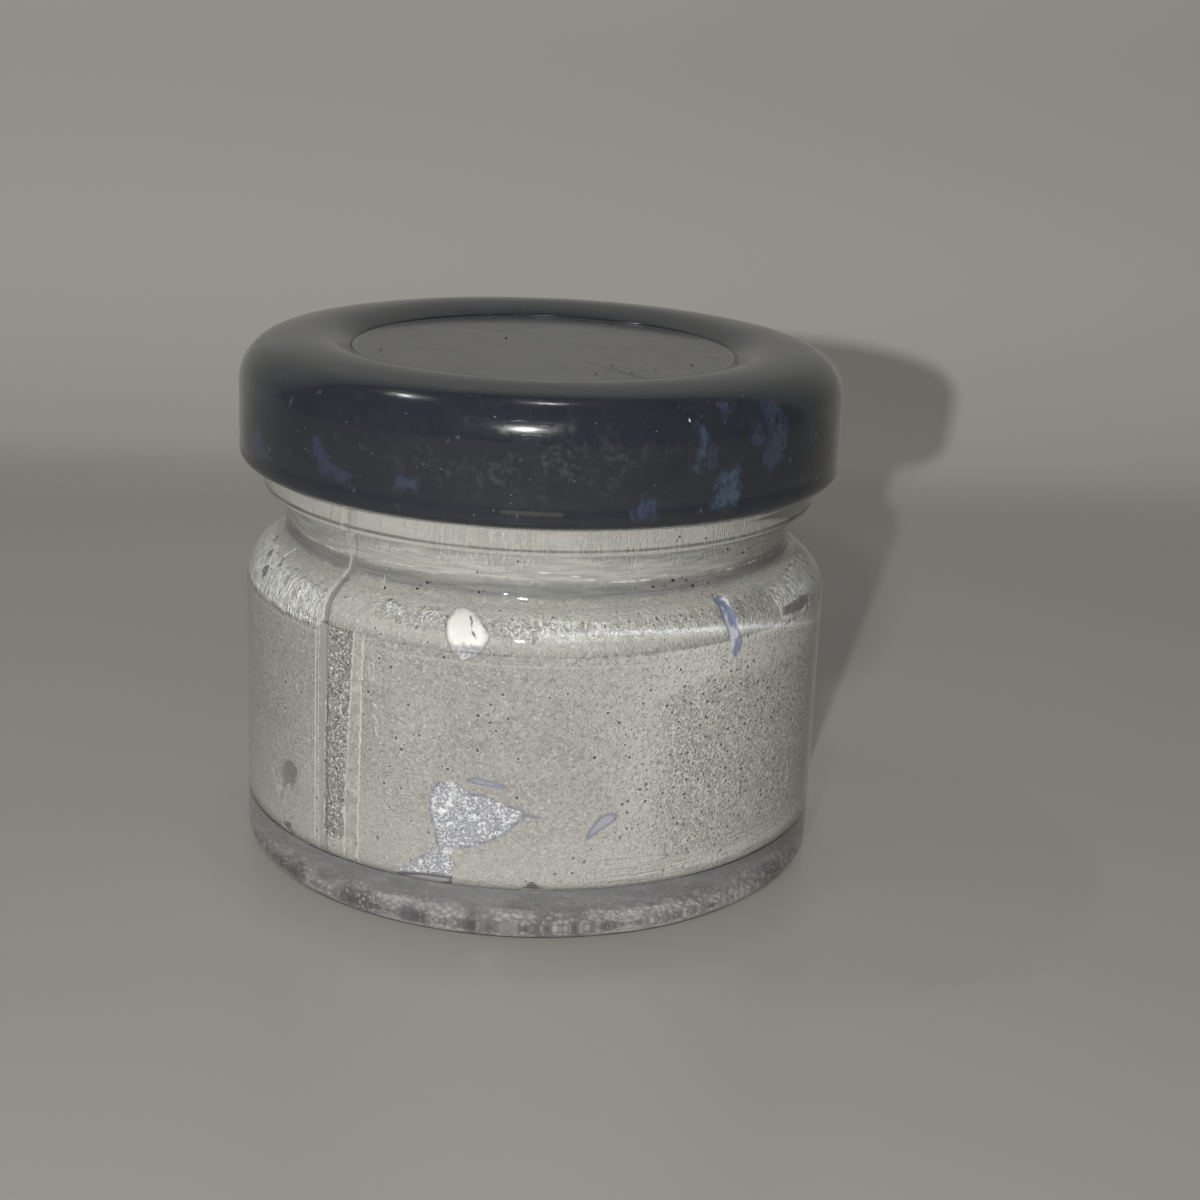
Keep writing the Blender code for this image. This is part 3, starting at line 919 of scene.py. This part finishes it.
PATCH = [(-19, 10.9), (-15, 11.7), (-12, 10.8), (-8, 10.6), (-1.5, 9.8), (-0.2, 9.4), (-4.4, 7.9), (-10, 6.8),
         (-14.4, 6.5), (-14.3, 4.3), (-21, 4.2), (-27.3, 3.7), (-22.2, 5.0), (-17.6, 6.4), (-19.4, 9.0)]
LILAC_STROKES = [
    [(-13.2, 11.8), (-10.4, 12.1), (-4.7, 11.7), (-3.6, 11.3), (-6, 11.3), (-12.1, 11.6)],
    [(11, 7.3), (12, 8.3), (14.2, 9.3), (16.4, 9.5), (18.2, 9.2), (16.5, 8.6), (13.9, 8.0), (12.1, 7.5)],
    [(-0.8, 9.55), (2.5, 9.35), (4.6, 9.7), (2.4, 9.15), (-0.8, 9.2)],
]
GREY_SPOTS = [
    [(-59, 9.1), (-55.4, 9.4), (-53.4, 9.0), (-54.4, 8.0), (-55.8, 7.2), (-57.2, 7.5), (-60.5, 6.1),
     (-62.2, 7.8)],
    [(-59, 4.1), (-56.3, 4.4), (-55.4, 3.6), (-56.3, 3.1)],
    [(-0.4, 3.6), (1.2, 4.3), (3.0, 3.7), (1.6, 3.1)],
    [(6.6, 3.6), (7.8, 3.7), (7.6, 3.3), (6.8, 3.2)],
    [(62.9, 8.2), (64.3, 8.5), (64.0, 9.3), (63.0, 9.1)],
]
LENS = [(-27.0, 3.7), (-21, 4.15), (-14.4, 4.25), (-14.8, 3.6), (-18.8, 3.2), (-23.6, 3.2)]
CURLS = [
    [(-32.3, 16.3), (-31.2, 16.2), (-31.3, 15.6), (-32.1, 15.5), (-31.0, 15.0), (-31.6, 14.4), (-31.0, 13.9)],
    [(-33.0, 19.3), (-32.2, 19.4), (-31.8, 18.8), (-32.0, 18.1), (-32.8, 18.0), (-33.1, 18.6), (-33.0, 19.3)],
    [(24.1, 18.3), (24.5, 18.2)],
    [(35.4, 14.5), (35.7, 14.4)],
    [(-17.1, 12.9), (-16.8, 13.3)],
]
SCRATCHES = [
    [(51.6, 5.5), (51.2, 4.2), (51.8, 3.1)],
    [(28.1, 6.6), (28.3, 5.8), (29.1, 5.5)],
    [(-29.9, 19.9), (-29.6, 19.7)],
    [(-17.6, 6.1), (-17.4, 6.0)],
    [(-53.4, 7.4), (-53.0, 7.2)],
]
SEAM_AZIMUTH = -43.0
WINDOW = [(-16.2, 23.2), (-13.1, 23.15), (-10.8, 22.8), (-8.5, 22.1), (-9.1, 21.6), (-10.6, 21.0),
          (-13.5, 20.6), (-15.8, 21.15), (-17.4, 22.0), (-17.8, 22.6)]
WINDOW_MARK = [[(-13.2, 22.9), (-12.5, 22.6), (-12.2, 22.1), (-11.4, 22.0), (-11.0, 21.8)]]
DRIP = [(41.6, 23.3), (44.1, 23.3), (44.6, 22.8), (44.5, 22.2), (44.2, 21.6), (44.9, 21.0), (44.2, 20.2),
        (42.9, 19.8), (41.5, 20.7), (41.3, 21.5), (40.7, 22.3), (41.0, 22.8)]
BUBBLES = [(-2.9, 22.6, 0.3), (1.1, 22.8, 0.34), (3.9, 22.7, 0.3), (-5.1, 21.85, 0.3), (0.2, 22.2, 0.22),
           (13, 21.95, 0.3), (10, 22.5, 0.25), (6.5, 22.75, 0.28)]
# Gaps in the coat, painted dark as shade rather than cut.
HOLES = [
    [(-74.4, 21.75), (-72, 21.95), (-70.4, 21.8), (-70.8, 21.45), (-73, 21.4)],
    [(-78.5, 22.25), (-76, 22.35), (-75.4, 22.1), (-77, 21.9)],
    [(-68.6, 22.4), (-67.4, 22.5), (-67.2, 22.2), (-68.3, 22.15)],
    [(-66.4, 21.1), (-65.2, 21.2), (-65.4, 21.0)],
    [(59.4, 21.65), (64.5, 21.7), (71, 21.55), (74, 21.35), (72.4, 21.2), (69.3, 21.15), (62.5, 21.2),
     (58.3, 21.35)],
]
CREST = [(-12, 22.0), (2.5, 22.2), (13, 22.3), (23, 22.2), (33, 22.0), (39, 21.8), (45, 21.6), (58, 21.0),
         (68, 20.4), (74, 19.8)]
SPLITS = [
    [(-66, 22.3), (-69, 22.1), (-72, 21.9), (-74.5, 22.2), (-77, 22.6), (-80, 22.4)],
    [(-69, 22.1), (-70.5, 22.9), (-70, 23.6)],
    [(-66, 21.4), (-69, 21.1), (-73, 21.2), (-76.5, 21.7), (-80, 21.6)],
    [(-69, 21.1), (-68.5, 20.9)],
    [(82, 22.9), (75, 22.7), (68.7, 22.55), (62, 22.3), (58, 22.0)],
    [(62, 22.3), (66, 22.0), (73, 21.8), (79, 21.6)],
]
NECK_CRACKS = [
    [(-69, 25.75), (-59, 25.7), (-50, 25.8), (-38.8, 25.95), (-28, 26.0), (-11, 26.1), (-3, 26.3), (4, 26.6),
     (14.2, 25.85), (23, 25.7), (29.3, 25.95), (32.5, 26.3), (34.3, 27.1)],
    [(39.7, 25.3), (46, 25.45), (53, 25.6), (62, 25.45), (69, 25.25)],
    [(-35.6, 25.55), (-36, 24.3), (-34.9, 23.0)],
]


def crest_fields(azimuth, height):
    """The height above the ridge and its painted highlight along the shoulder, and how strong they are."""
    share = between(azimuth, -4, 8, 80, 110)
    return {"crest": height - np.interp(azimuth, *zip(*CREST)), "crest_share": share}


def crust_field(azimuth, height):
    """How thick the white fibrous crust on the shoulder is, from 0 to 1."""
    left = between(azimuth, -125, -90, -52, -40) * between(height, 20.4, 21.1, 22.2, 22.9)
    middle = between(azimuth, -37, -31, -25, 24) * between(height, 21.9, 22.4, 22.7, 23.2)
    right = between(azimuth, 52, 62, 90, 120) * between(height, 20.7, 21.1, 22.4, 23.0)
    return best([left, 0.62 * middle, 0.85 * right])


def glossy_fields(azimuth, height):
    return {
        "window": inside_outline(azimuth, height, WINDOW),
        "mark": near_lines(azimuth, height, WINDOW_MARK),
        "drip": inside_outline(azimuth, height, DRIP),
    }


def run_fields(azimuth, height):
    """The vertical run left of the middle, as signed distances in mm to its channel and its two bands."""
    across = (azimuth - SEAM_AZIMUTH) * ARC_PER_DEGREE
    drift = np.clip((21 - height) / 13, 0, 1)
    left = -0.1 - 0.4 * np.clip((21 - height) / 9, 0, 1)
    middle = 2.1 - 0.7 * drift
    right = 2.95 - 0.3 * drift
    channel = np.minimum(across + 1.03, -0.35 - across)
    grain = np.minimum(np.minimum(across - left, middle - across), height - 5.0)
    band = np.minimum(across - middle, right - across)
    return {"seam": across, "channel": channel, "grain": grain, "band": band}


def paint_density(azimuth, height):
    """The share of cells that hold a pit: few in the middle, many on the right."""
    right = between(azimuth, 8, 40, 70, 84) * between(height, 3, 7, 17, 20.5)
    left = between(azimuth, -110, -90, -62, -48)
    middle = np.exp(-(((azimuth + 8) / 6) ** 2) - ((height - 16.5) / 2.5) ** 2)
    return 0.04 + 0.56 * right + 0.14 * left + 0.30 * middle


def make_paint_mass():
    radius = INSIDE_RADIUS
    level = PAINT_HIGH.z - LEVEL_DROP
    top = [(0.0, level), (radius - 1.2, level), (radius - 0.5, level + 0.1), (radius, PAINT_HIGH.z)]
    top = even(top, 0.7)
    side = even([(radius, PAINT_HIGH.z), (radius, FLOOR_Z + FLOOR_CORNER)], 0.2)
    corner = arc((radius - FLOOR_CORNER, FLOOR_Z + FLOOR_CORNER), FLOOR_CORNER, 0, -90, 14)
    bottom = split([corner[-1], (0.0, FLOOR_Z)], 1.6)
    turned = Turned(top[:-1] + side[:-1] + corner[:-1] + bottom, PAINT_COLUMNS)
    azimuth, height = turned.azimuth, turned.height.copy()
    noise = Lattice(PAINT_SEED)
    places = turned.points()
    fields = run_fields(azimuth, height)
    fields["run"] = smooth(height, 3.3, 3.9)
    fields["patch"] = inside_outline(azimuth, height, PATCH)
    fields["stroke"] = best(inside_outline(azimuth, height, outline) for outline in LILAC_STROKES)
    fields["spot"] = best(inside_outline(azimuth, height, outline) for outline in GREY_SPOTS)
    fields["pits"] = paint_density(azimuth, height)
    # Painted light: the paint is lightened on the right side, which the lamps leave dim.
    fields["pale"] = between(azimuth, 5, 40, 100, 130)
    fields["lens"] = inside_outline(azimuth, height, LENS)
    fields["curl"] = near_lines(azimuth, height, CURLS)
    fields["scratch"] = near_lines(azimuth, height, SCRATCHES)
    fields["swept"] = between(azimuth, 8, 22, 54, 62) * smooth(-height, -7.0, -5.5)
    fields["crust"] = crust_field(azimuth, height)
    fields.update(glossy_fields(azimuth, height))
    fields.update(crest_fields(azimuth, height))
    on_side = (turned.normal[..., 0] > 0.5) & (height < level)
    rough = noise(places, 0.5) + 0.5 * noise(places, 0.3)
    coarse = best([smooth(fields["grain"], 0, 0.2), smooth(fields["patch"], 0.0, 0.2)])
    hollow = smooth(fields["spot"], -0.05, 0.15)
    amount = CONTACT - 0.12 * coarse * np.maximum(0, rough + 0.15) - 0.30 * hollow
    skin = noise.rough(places * (1, 1, 0), 5.0, 4) * 0.35 + 0.15 * noise(places * (1, 1, 0), (1.2, 6.0, 1.0))
    on_top = (turned.normal[..., 1] > 0.5) & (height > FLOOR_Z + 5)
    fade = smooth(INSIDE_RADIUS - turned.radius, 0.0, 1.0)
    turned.push(np.where(on_top, -np.abs(skin) * fade, np.where(on_side, amount, CONTACT)))
    obj = turned_object("paint_mass", turned, [paint_mass_material()], fields)
    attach(obj, "jar")
    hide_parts("paint_fill")


def shell_faces(rows, columns):
    """Faces of a shell whose outer grid comes first and inner grid next, closed along both ends."""
    outer = grid_faces(rows, columns)
    shift = rows * columns
    faces = [outer.reshape(-1, 4), outer[..., ::-1].reshape(-1, 4) + shift]
    for one, two in ((outer[0, :, 0], outer[0, :, 1]), (outer[-1, :, 2], outer[-1, :, 3])):
        faces.append(np.stack([one, two, two + shift, one + shift], axis=1))
    return np.concatenate(faces)


def make_paint_coat():
    wall = inner_wall(0.0) + [(BORE_RADIUS, FILM_HIGH.z)]
    line = even(wall, 0.25)[::-1]
    outer = Turned(line, COAT_COLUMNS)
    azimuth, height = outer.azimuth, outer.height.copy()
    noise = Lattice(COAT_SEED)
    places = outer.points()
    channel_azimuth = np.interp(height, [20.5, 21.6, 22.8, 23.7, 25.8], [-44.6, -45.1, -45.6, -46.5, -45.4])
    channel = 0.32 - np.abs(azimuth - channel_azimuth) * ARC_PER_DEGREE
    crest = crest_fields(azimuth, height)
    crust = crust_field(azimuth, height)
    fields = {
        **crest,
        "pits": 0.12 + 0.40 * between(height, 21.8, 22.2, 22.6, 23.0) * smooth(azimuth, -38, -30),
        "channel": np.where(height < 25.9, channel, -1),
        "crack": near_lines(azimuth, height, NECK_CRACKS, NECK_ARC_PER_DEGREE),
        "crust": crust,
        "comb": between(height, 26.2, 27.0, 29.5, 31),
        "teeth": between(azimuth, 43, 45, 55, 59) * between(height, 21.5, 21.8, 22.6, 23.2),
        "split": near_lines(azimuth, height, SPLITS),
        "painted_hole_shade": best(inside_outline(azimuth, height, outline) for outline in HOLES),
        "foam": between(azimuth, -7, -2, 12, 19) * between(height, 21.9, 22.2, 22.7, 23),
        **glossy_fields(azimuth, height),
        "bubble": np.minimum.reduce([
            np.hypot((azimuth - a) * ARC_PER_DEGREE, height - z) - size for a, z, size in BUBBLES
        ]),
    }
    crackle = noise(places, 0.5) + 0.6 * noise(places, 0.28)
    fibres = noise(places, (0.6, 0.6, 3.0))
    shoulder_zone = between(height, 21.6, 22.1, 22.8, 23.4)
    pitted = shoulder_zone * np.maximum(0, crackle - 0.1) * 0.10
    lifted = 0.02 * crust * np.maximum(0, fibres)
    hollow = 0.20 * smooth(fields["window"], -0.1, 0.2) + 0.16 * smooth(fields["drip"], -0.1, 0.15)
    tucked = 0.15 * smooth(-height, -21.15, -21.0)
    run = CHANNEL_DEPTH * smooth(channel, -0.05, 0.15)
    outer.push(CONTACT - pitted - lifted - hollow - run - tucked)
    inner = Turned(line, COAT_COLUMNS)
    inner.push(-(COAT_THICKNESS + 0.10 * noise.rough(places, 1.6, 3) + hollow))
    points = np.concatenate([outer.points().reshape(-1, 3), inner.points().reshape(-1, 3)])
    both = {key: np.concatenate([value.ravel(), value.ravel()]) for key, value in fields.items()}
    faces = shell_faces(len(line), COAT_COLUMNS)
    obj = make_object("paint_coat", points, faces, [paint_coat_material()], both)
    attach(obj, "jar")
    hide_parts("paint_wall_film")


# ---------------------------------------------------------------- the lid

SMEARS = {
    "smear_sky": [
        [(28.6, 37.6), (29.4, 37.2), (28.8, 35.8), (28.2, 34.6), (27.2, 34.5), (27.6, 35.4)],
        [(31.4, 32.0), (36.4, 31.9), (37.4, 33.3), (36.2, 34.6), (33.2, 34.2), (31.6, 33.2)],
    ],
    "smear_blue": [
        [(42.5, 38.6), (46.5, 38.8), (48.8, 36.6), (47.6, 34.9), (44.5, 33.8), (42.6, 34.6), (43.6, 36.5)],
        [(15.6, 32.0), (17.8, 33.0), (20.6, 32.6), (20.2, 31.7), (16.4, 31.5)],
        [(-66, 33.0), (-63, 34.4), (-60, 33.8), (-58, 32.6), (-62, 32.2)],
        [(-25, 33.6), (-21, 33.7), (-21, 33.0), (-25, 33.0)],
    ],
    "smear_violet": [
        [(-43.4, 35.2), (-41.6, 35.4), (-40.4, 34.2), (-36.6, 33.6), (-34.3, 33.1), (-36.8, 32.8),
         (-41.6, 33.0)],
        [(39.2, 37.4), (41.2, 37.5), (41.6, 36.0), (39.6, 36.0)],
        [(32.5, 38.9), (36.0, 39.0), (35.6, 38.4), (33.0, 38.3)],
        [(29.6, 36.6), (31.4, 36.4), (31.0, 34.8), (30.0, 35.2)],
    ],
}


# The line of the painted glint above the curl.
GLINT_LINE = [[(-6, 31.95), (4.5, 31.9)]]
FLECKS = [[(26, 38.2), (26.1, 38.1)], [(60.8, 32.2), (61.2, 32.2)], [(-17, 37.3), (-17.1, 37.2)]]


def lid_profile():
    """The lid's section, from the middle of its top out, down the skirt, round the curl and back inside."""
    top = [(0.0, PANEL_Z)]
    top += arc((PANEL_RADIUS, PANEL_Z + PANEL_FILLET), PANEL_FILLET, 270, 270 + STEP_TURN, 5)
    top += arc((APEX_RADIUS, LID_TOP_Z - STEP_ROUND), STEP_ROUND, 90 + STEP_TURN, 90, 12)
    top += arc((APEX_RADIUS, LID_TOP_Z - DOME_ROUND), DOME_ROUND, 90, 90 - DOME_TURN, 8)[1:]
    lean = math.radians(90 - DOME_TURN)
    centre_z = top[-1][1] - LID_SHOULDER_ROUND * math.sin(lean)
    centre = (LID_RADIUS - LID_SHOULDER_ROUND, centre_z)
    crown = arc(centre, LID_SHOULDER_ROUND, 90 - DOME_TURN, 0, 18)[1:]
    curl_centre = (LID_RADIUS - CURL_RADIUS, LID_BOTTOM_Z + CURL_RADIUS)
    outer = split(top + crown, 0.8) + split([crown[-1], (LID_RADIUS, curl_centre[1])], 0.3)[1:-1]
    inner_line = np.array(outer) - PLATE * line_normals(outer)
    above_curl = curl_centre[1] + 0.6
    inner_line = [tuple(point) for point in inner_line if point[1] > above_curl or point[0] < 20][::-1]
    inner_line[-1] = (0.0, PANEL_Z - PLATE)
    turn = 360 - math.degrees(math.acos((CURL_RADIUS - PLATE) / CURL_RADIUS))
    curl = arc(curl_centre, CURL_RADIUS, 0, -turn, 22)
    return outer + curl + inner_line, len(outer) + 8


def make_lid_cap():
    profile, painted_rows = lid_profile()
    turned = Turned(profile, LID_COLUMNS)
    azimuth, height = turned.azimuth, turned.height.copy()
    low_z = LID_BOTTOM_Z + 2 * CURL_RADIUS
    turn = np.abs((azimuth + 45) % 90 - 45)
    on_curl = (height < low_z + 0.05) & (turned.radius < LID_RADIUS - CURL_RADIUS)
    lug = smooth(LUG_HALF_SWEEP - turn, 0.0, 5.0)
    reach = smooth(LID_RADIUS - CURL_RADIUS - turned.radius, 0.0, CURL_RADIUS)
    turned.radius = turned.radius - np.where(on_curl, LUG_DEPTH * lug * reach, 0)
    noise = Lattice(LID_SEED)
    dent = -np.abs(noise(turned.points(), 14.0)) * 0.04
    crease = -0.06 * np.exp(-(((height - CREASE_Z) / 0.25) ** 2)) * (turned.radius > LID_RADIUS - PLATE / 2)
    turned.push(np.where(height > low_z, dent, 0) + crease)
    fields = {
        name: best(inside_outline(azimuth, height, outline, LID_ARC_PER_DEGREE) for outline in outlines)
        for name, outlines in SMEARS.items()
    }
    fields["painted_glint"] = near_lines(azimuth, height, GLINT_LINE, LID_ARC_PER_DEGREE)
    # Where the haze of dust and painted sheen lies, on the front of the skirt.
    fields["dusty"] = np.exp(-((azimuth / 24) ** 2) - ((height - 35.2) / 2.0) ** 2)
    # Distance from the panel's edge, for its painted highlight.
    fields["rim"] = np.where(height > PANEL_Z - PLATE / 2, turned.radius - PANEL_RADIUS, 1)
    fields["fleck"] = near_lines(azimuth, height, FLECKS, LID_ARC_PER_DEGREE)
    rows, columns = turned.radius.shape
    inside_face = np.repeat((np.arange(rows - 1) >= painted_rows)[:, None], columns, axis=1)
    materials = [lacquer_material(), gold_material()]
    obj = turned_object("lid_cap", turned, materials, fields, inside_face)
    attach(obj, "lid")
    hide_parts("lid_shell")


def make_gasket():
    """The ring of compound, rounded where it flowed, with the rim's print in its underside."""
    low, high = GASKET_LOW.z, GASKET_HIGH.z
    outer_radius = GASKET_HIGH.x
    inner_radius = outer_radius - 4.0
    profile = [(inner_radius + 0.4, low), (inner_radius + 0.1, low + 0.15), (inner_radius, low + 0.45)]
    profile += [(inner_radius + 0.1, high - 0.12), (inner_radius + 0.4, high), (outer_radius - 1.05, high)]
    profile += [(outer_radius - 0.1, high - 0.58), (outer_radius, low + 0.3), (outer_radius - 0.2, low)]
    profile += [(inner_radius + 0.4, low)]
    profile = split(profile, 0.25)
    turned = Turned(profile, GASKET_COLUMNS)
    noise = Lattice(GASKET_SEED)
    places = turned.points()
    under = (turned.height < low + 0.05) & (turned.radius > inner_radius + 0.9)
    under &= turned.radius < outer_radius - 0.7
    print_depth = 0.08 * smooth(1.0 - np.abs(turned.radius - (inner_radius + outer_radius) / 2), 0, 0.6)
    turned.push(-0.03 - np.abs(noise(places, 0.9)) * 0.03 - np.where(under, print_depth, 0))
    obj = turned_object("gasket_ring", turned, [compound_material()])
    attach(obj, "liner")
    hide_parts("lid_gasket")


# ---------------------------------------------------------------- dust

NECK_DUST = [(-24.9, 24.9), (-22.9, 25.4), (-32.3, 24.6), (-12.1, 26.6), (44.4, 27.5), (49.8, 26.9),
             (29.6, 25.9), (34.7, 25.3), (24.9, 25.6), (27.6, 29.6), (-3.8, 27.6), (-11.6, 25.2)]
LID_DUST = [(5, 6), (6.4, 8.8), (8.2, 7.2), (7.4, 3.2), (-12.2, 3.0), (3.8, 9.6), (-3.0, -4.0), (11.0, 4.6)]


def make_dust(name, centres, body, sizes):
    """Irregular dark specks, half sunk into what they lie on."""
    random = np.random.default_rng(DUST_SEED)
    work = bmesh.new()
    for centre in centres:
        size = random.uniform(*sizes)
        squash = random.uniform(0.6, 1.0, 3)
        turn = Matrix.Rotation(random.uniform(0, math.pi), 4, "Z")
        place = Matrix.Translation(Vector(centre) * MM) @ turn @ Matrix.Diagonal((*squash, 1.0))
        made = bmesh.ops.create_icosphere(work, subdivisions=2, radius=size * MM, matrix=place)
        for vertex in made["verts"]:
            vertex.co += Vector(random.uniform(-0.012, 0.012, 3)) * MM
    mesh = bpy.data.meshes.new(name)
    work.to_mesh(mesh)
    work.free()
    mesh.shade_smooth()
    mesh.materials.append(dust_material())
    obj = bpy.data.objects.new(name, mesh)
    bpy.context.scene.collection.objects.link(obj)
    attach(obj, body)


def make_all_dust():
    wall = np.array(shoulder(BODY_RADIUS, NECK_RADIUS, SHOULDER_Z, SHOULDER_ROUND, NECK_FILLET))
    neck = []
    for azimuth, height in NECK_DUST:
        angle = math.radians(azimuth)
        radius = np.interp(height, wall[:, 1], wall[:, 0]) if height < BEAD_LOW_Z else BEAD_RADIUS
        neck.append((radius * math.sin(angle), -radius * math.cos(angle), height))
    make_dust("neck_dust", neck, "jar", (0.08, 0.15))
    make_dust("lid_dust", [(x, -y, PANEL_Z) for x, y in LID_DUST], "lid", (0.05, 0.09))


# ---------------------------------------------------------------- studio

def make_stage():
    """A pale sheet that lies flat under the jar and curves up behind it."""
    line = [(SHEET_FRONT_Y, 0.0), (-200.0, 0.0), (0.0, 0.0)]
    line += arc((SHEET_BEND_Y, SHEET_BEND_RADIUS), SHEET_BEND_RADIUS, -90, 0, 24)
    line += [(SHEET_BEND_Y + SHEET_BEND_RADIUS, SHEET_TOP_Z)]
    sides = (-SHEET_HALF_WIDTH, SHEET_HALF_WIDTH)
    work = bmesh.new()
    rows = [[work.verts.new((x * MM, y * MM, z * MM)) for x in sides] for y, z in line]
    for low, high in zip(rows, rows[1:]):
        work.faces.new((low[0], low[1], high[1], high[0]))
    mesh = bpy.data.meshes.new("sheet")
    work.to_mesh(mesh)
    work.free()
    mesh.shade_smooth()
    made = Material("pale_sheet")
    cloud = made.noise(60.0, 2)
    base = made.mix(cloud, (0.44, 0.43, 0.405, 1), (0.48, 0.47, 0.445, 1))
    # Painted light and shade: the sheet's tone steps with height, lighter where it starts to curve up, darker
    # above that and lighter again high up.
    base = made.mix(made.step(made.height(), 0.3, 3.0), base, (0.56, 0.556, 0.522, 1))
    base = made.mix(made.step(made.height(), 8.0, 60.0), base, (0.46, 0.457, 0.43, 1))
    base = made.mix(made.step(made.height(), 160.0, 300.0), base, (0.60, 0.595, 0.57, 1))
    made.finish(Base_Color=base, Roughness=0.28, Specular_IOR_Level=0.4)
    mesh.materials.append(made.material)
    obj = bpy.data.objects.new("sheet", mesh)
    bpy.context.scene.collection.objects.link(obj)


def make_light(name, place, target, size, power):
    data = bpy.data.lights.new(name, "AREA")
    data.shape = "RECTANGLE"
    data.size, data.size_y = size[0] * MM, size[1] * MM
    data.energy = power
    data.color = WARM_WHITE
    obj = bpy.data.objects.new(name, data)
    bpy.context.scene.collection.objects.link(obj)
    obj.location = Vector(place) * MM
    obj.rotation_euler = (Vector(target) - Vector(place)).to_track_quat("-Z", "Y").to_euler()
    return obj


def make_lights():
    world = bpy.data.worlds.new("studio")
    world.use_nodes = True
    tree = world.node_tree
    soft, output = tree.nodes["Background"], tree.nodes["World Output"]
    soft.inputs["Color"].default_value = (0.120, 0.120, 0.119, 1)
    dim = tree.nodes.new("ShaderNodeBackground")
    dim.inputs["Color"].default_value = (0.075, 0.078, 0.084, 1)
    light = tree.nodes.new("ShaderNodeLightPath")
    mixed = tree.nodes.new("ShaderNodeMixShader")
    tree.links.new(light.outputs["Is Glossy Ray"], mixed.inputs[0])
    tree.links.new(soft.outputs[0], mixed.inputs[1])
    tree.links.new(dim.outputs[0], mixed.inputs[2])
    tree.links.new(mixed.outputs[0], output.inputs["Surface"])
    bpy.context.scene.world = world
    make_light("key", (-16, -160, 118), (0, 0, 24), (11, 8), 0.10)
    front = make_light("front_left", (-197, -854, 202), (0, 0, 20), (14, 14), 5.1)
    front.visible_glossy = False
    make_light("overhead", (6, 30, 420), (0, 0, 40), (26, 12), 0.04)
    make_light("overhead_left", (-190, 40, 390), (0, 0, 40), (40, 16), 0.06)


def make_camera():
    data = bpy.data.cameras.new("camera")
    data.lens = CAMERA_LENS
    data.sensor_width = CAMERA_SENSOR
    data.clip_start = CAMERA_NEAR
    obj = bpy.data.objects.new("camera", data)
    bpy.context.scene.collection.objects.link(obj)
    yaw, pitch, roll = (math.radians(turn) for turn in (CAMERA_YAW, CAMERA_PITCH, CAMERA_ROLL))
    aim = Vector((math.sin(yaw) * math.cos(pitch), math.cos(yaw) * math.cos(pitch), -math.sin(pitch)))
    level = Vector((math.cos(yaw), -math.sin(yaw), 0))
    upright = level.cross(aim)
    right = math.cos(roll) * level + math.sin(roll) * upright
    up = math.cos(roll) * upright - math.sin(roll) * level
    turn = Matrix((right, up, -aim)).transposed()
    obj.matrix_world = Matrix.Translation(Vector(CAMERA_PLACE) * MM) @ turn.to_4x4()
    bpy.context.scene.camera = obj


make_camera()
make_lights()
make_stage()
make_jar_glass()
make_paint_mass()
make_paint_coat()
make_lid_cap()
make_gasket()
make_all_dust()
bpy.context.scene.view_settings.view_transform = "Standard"
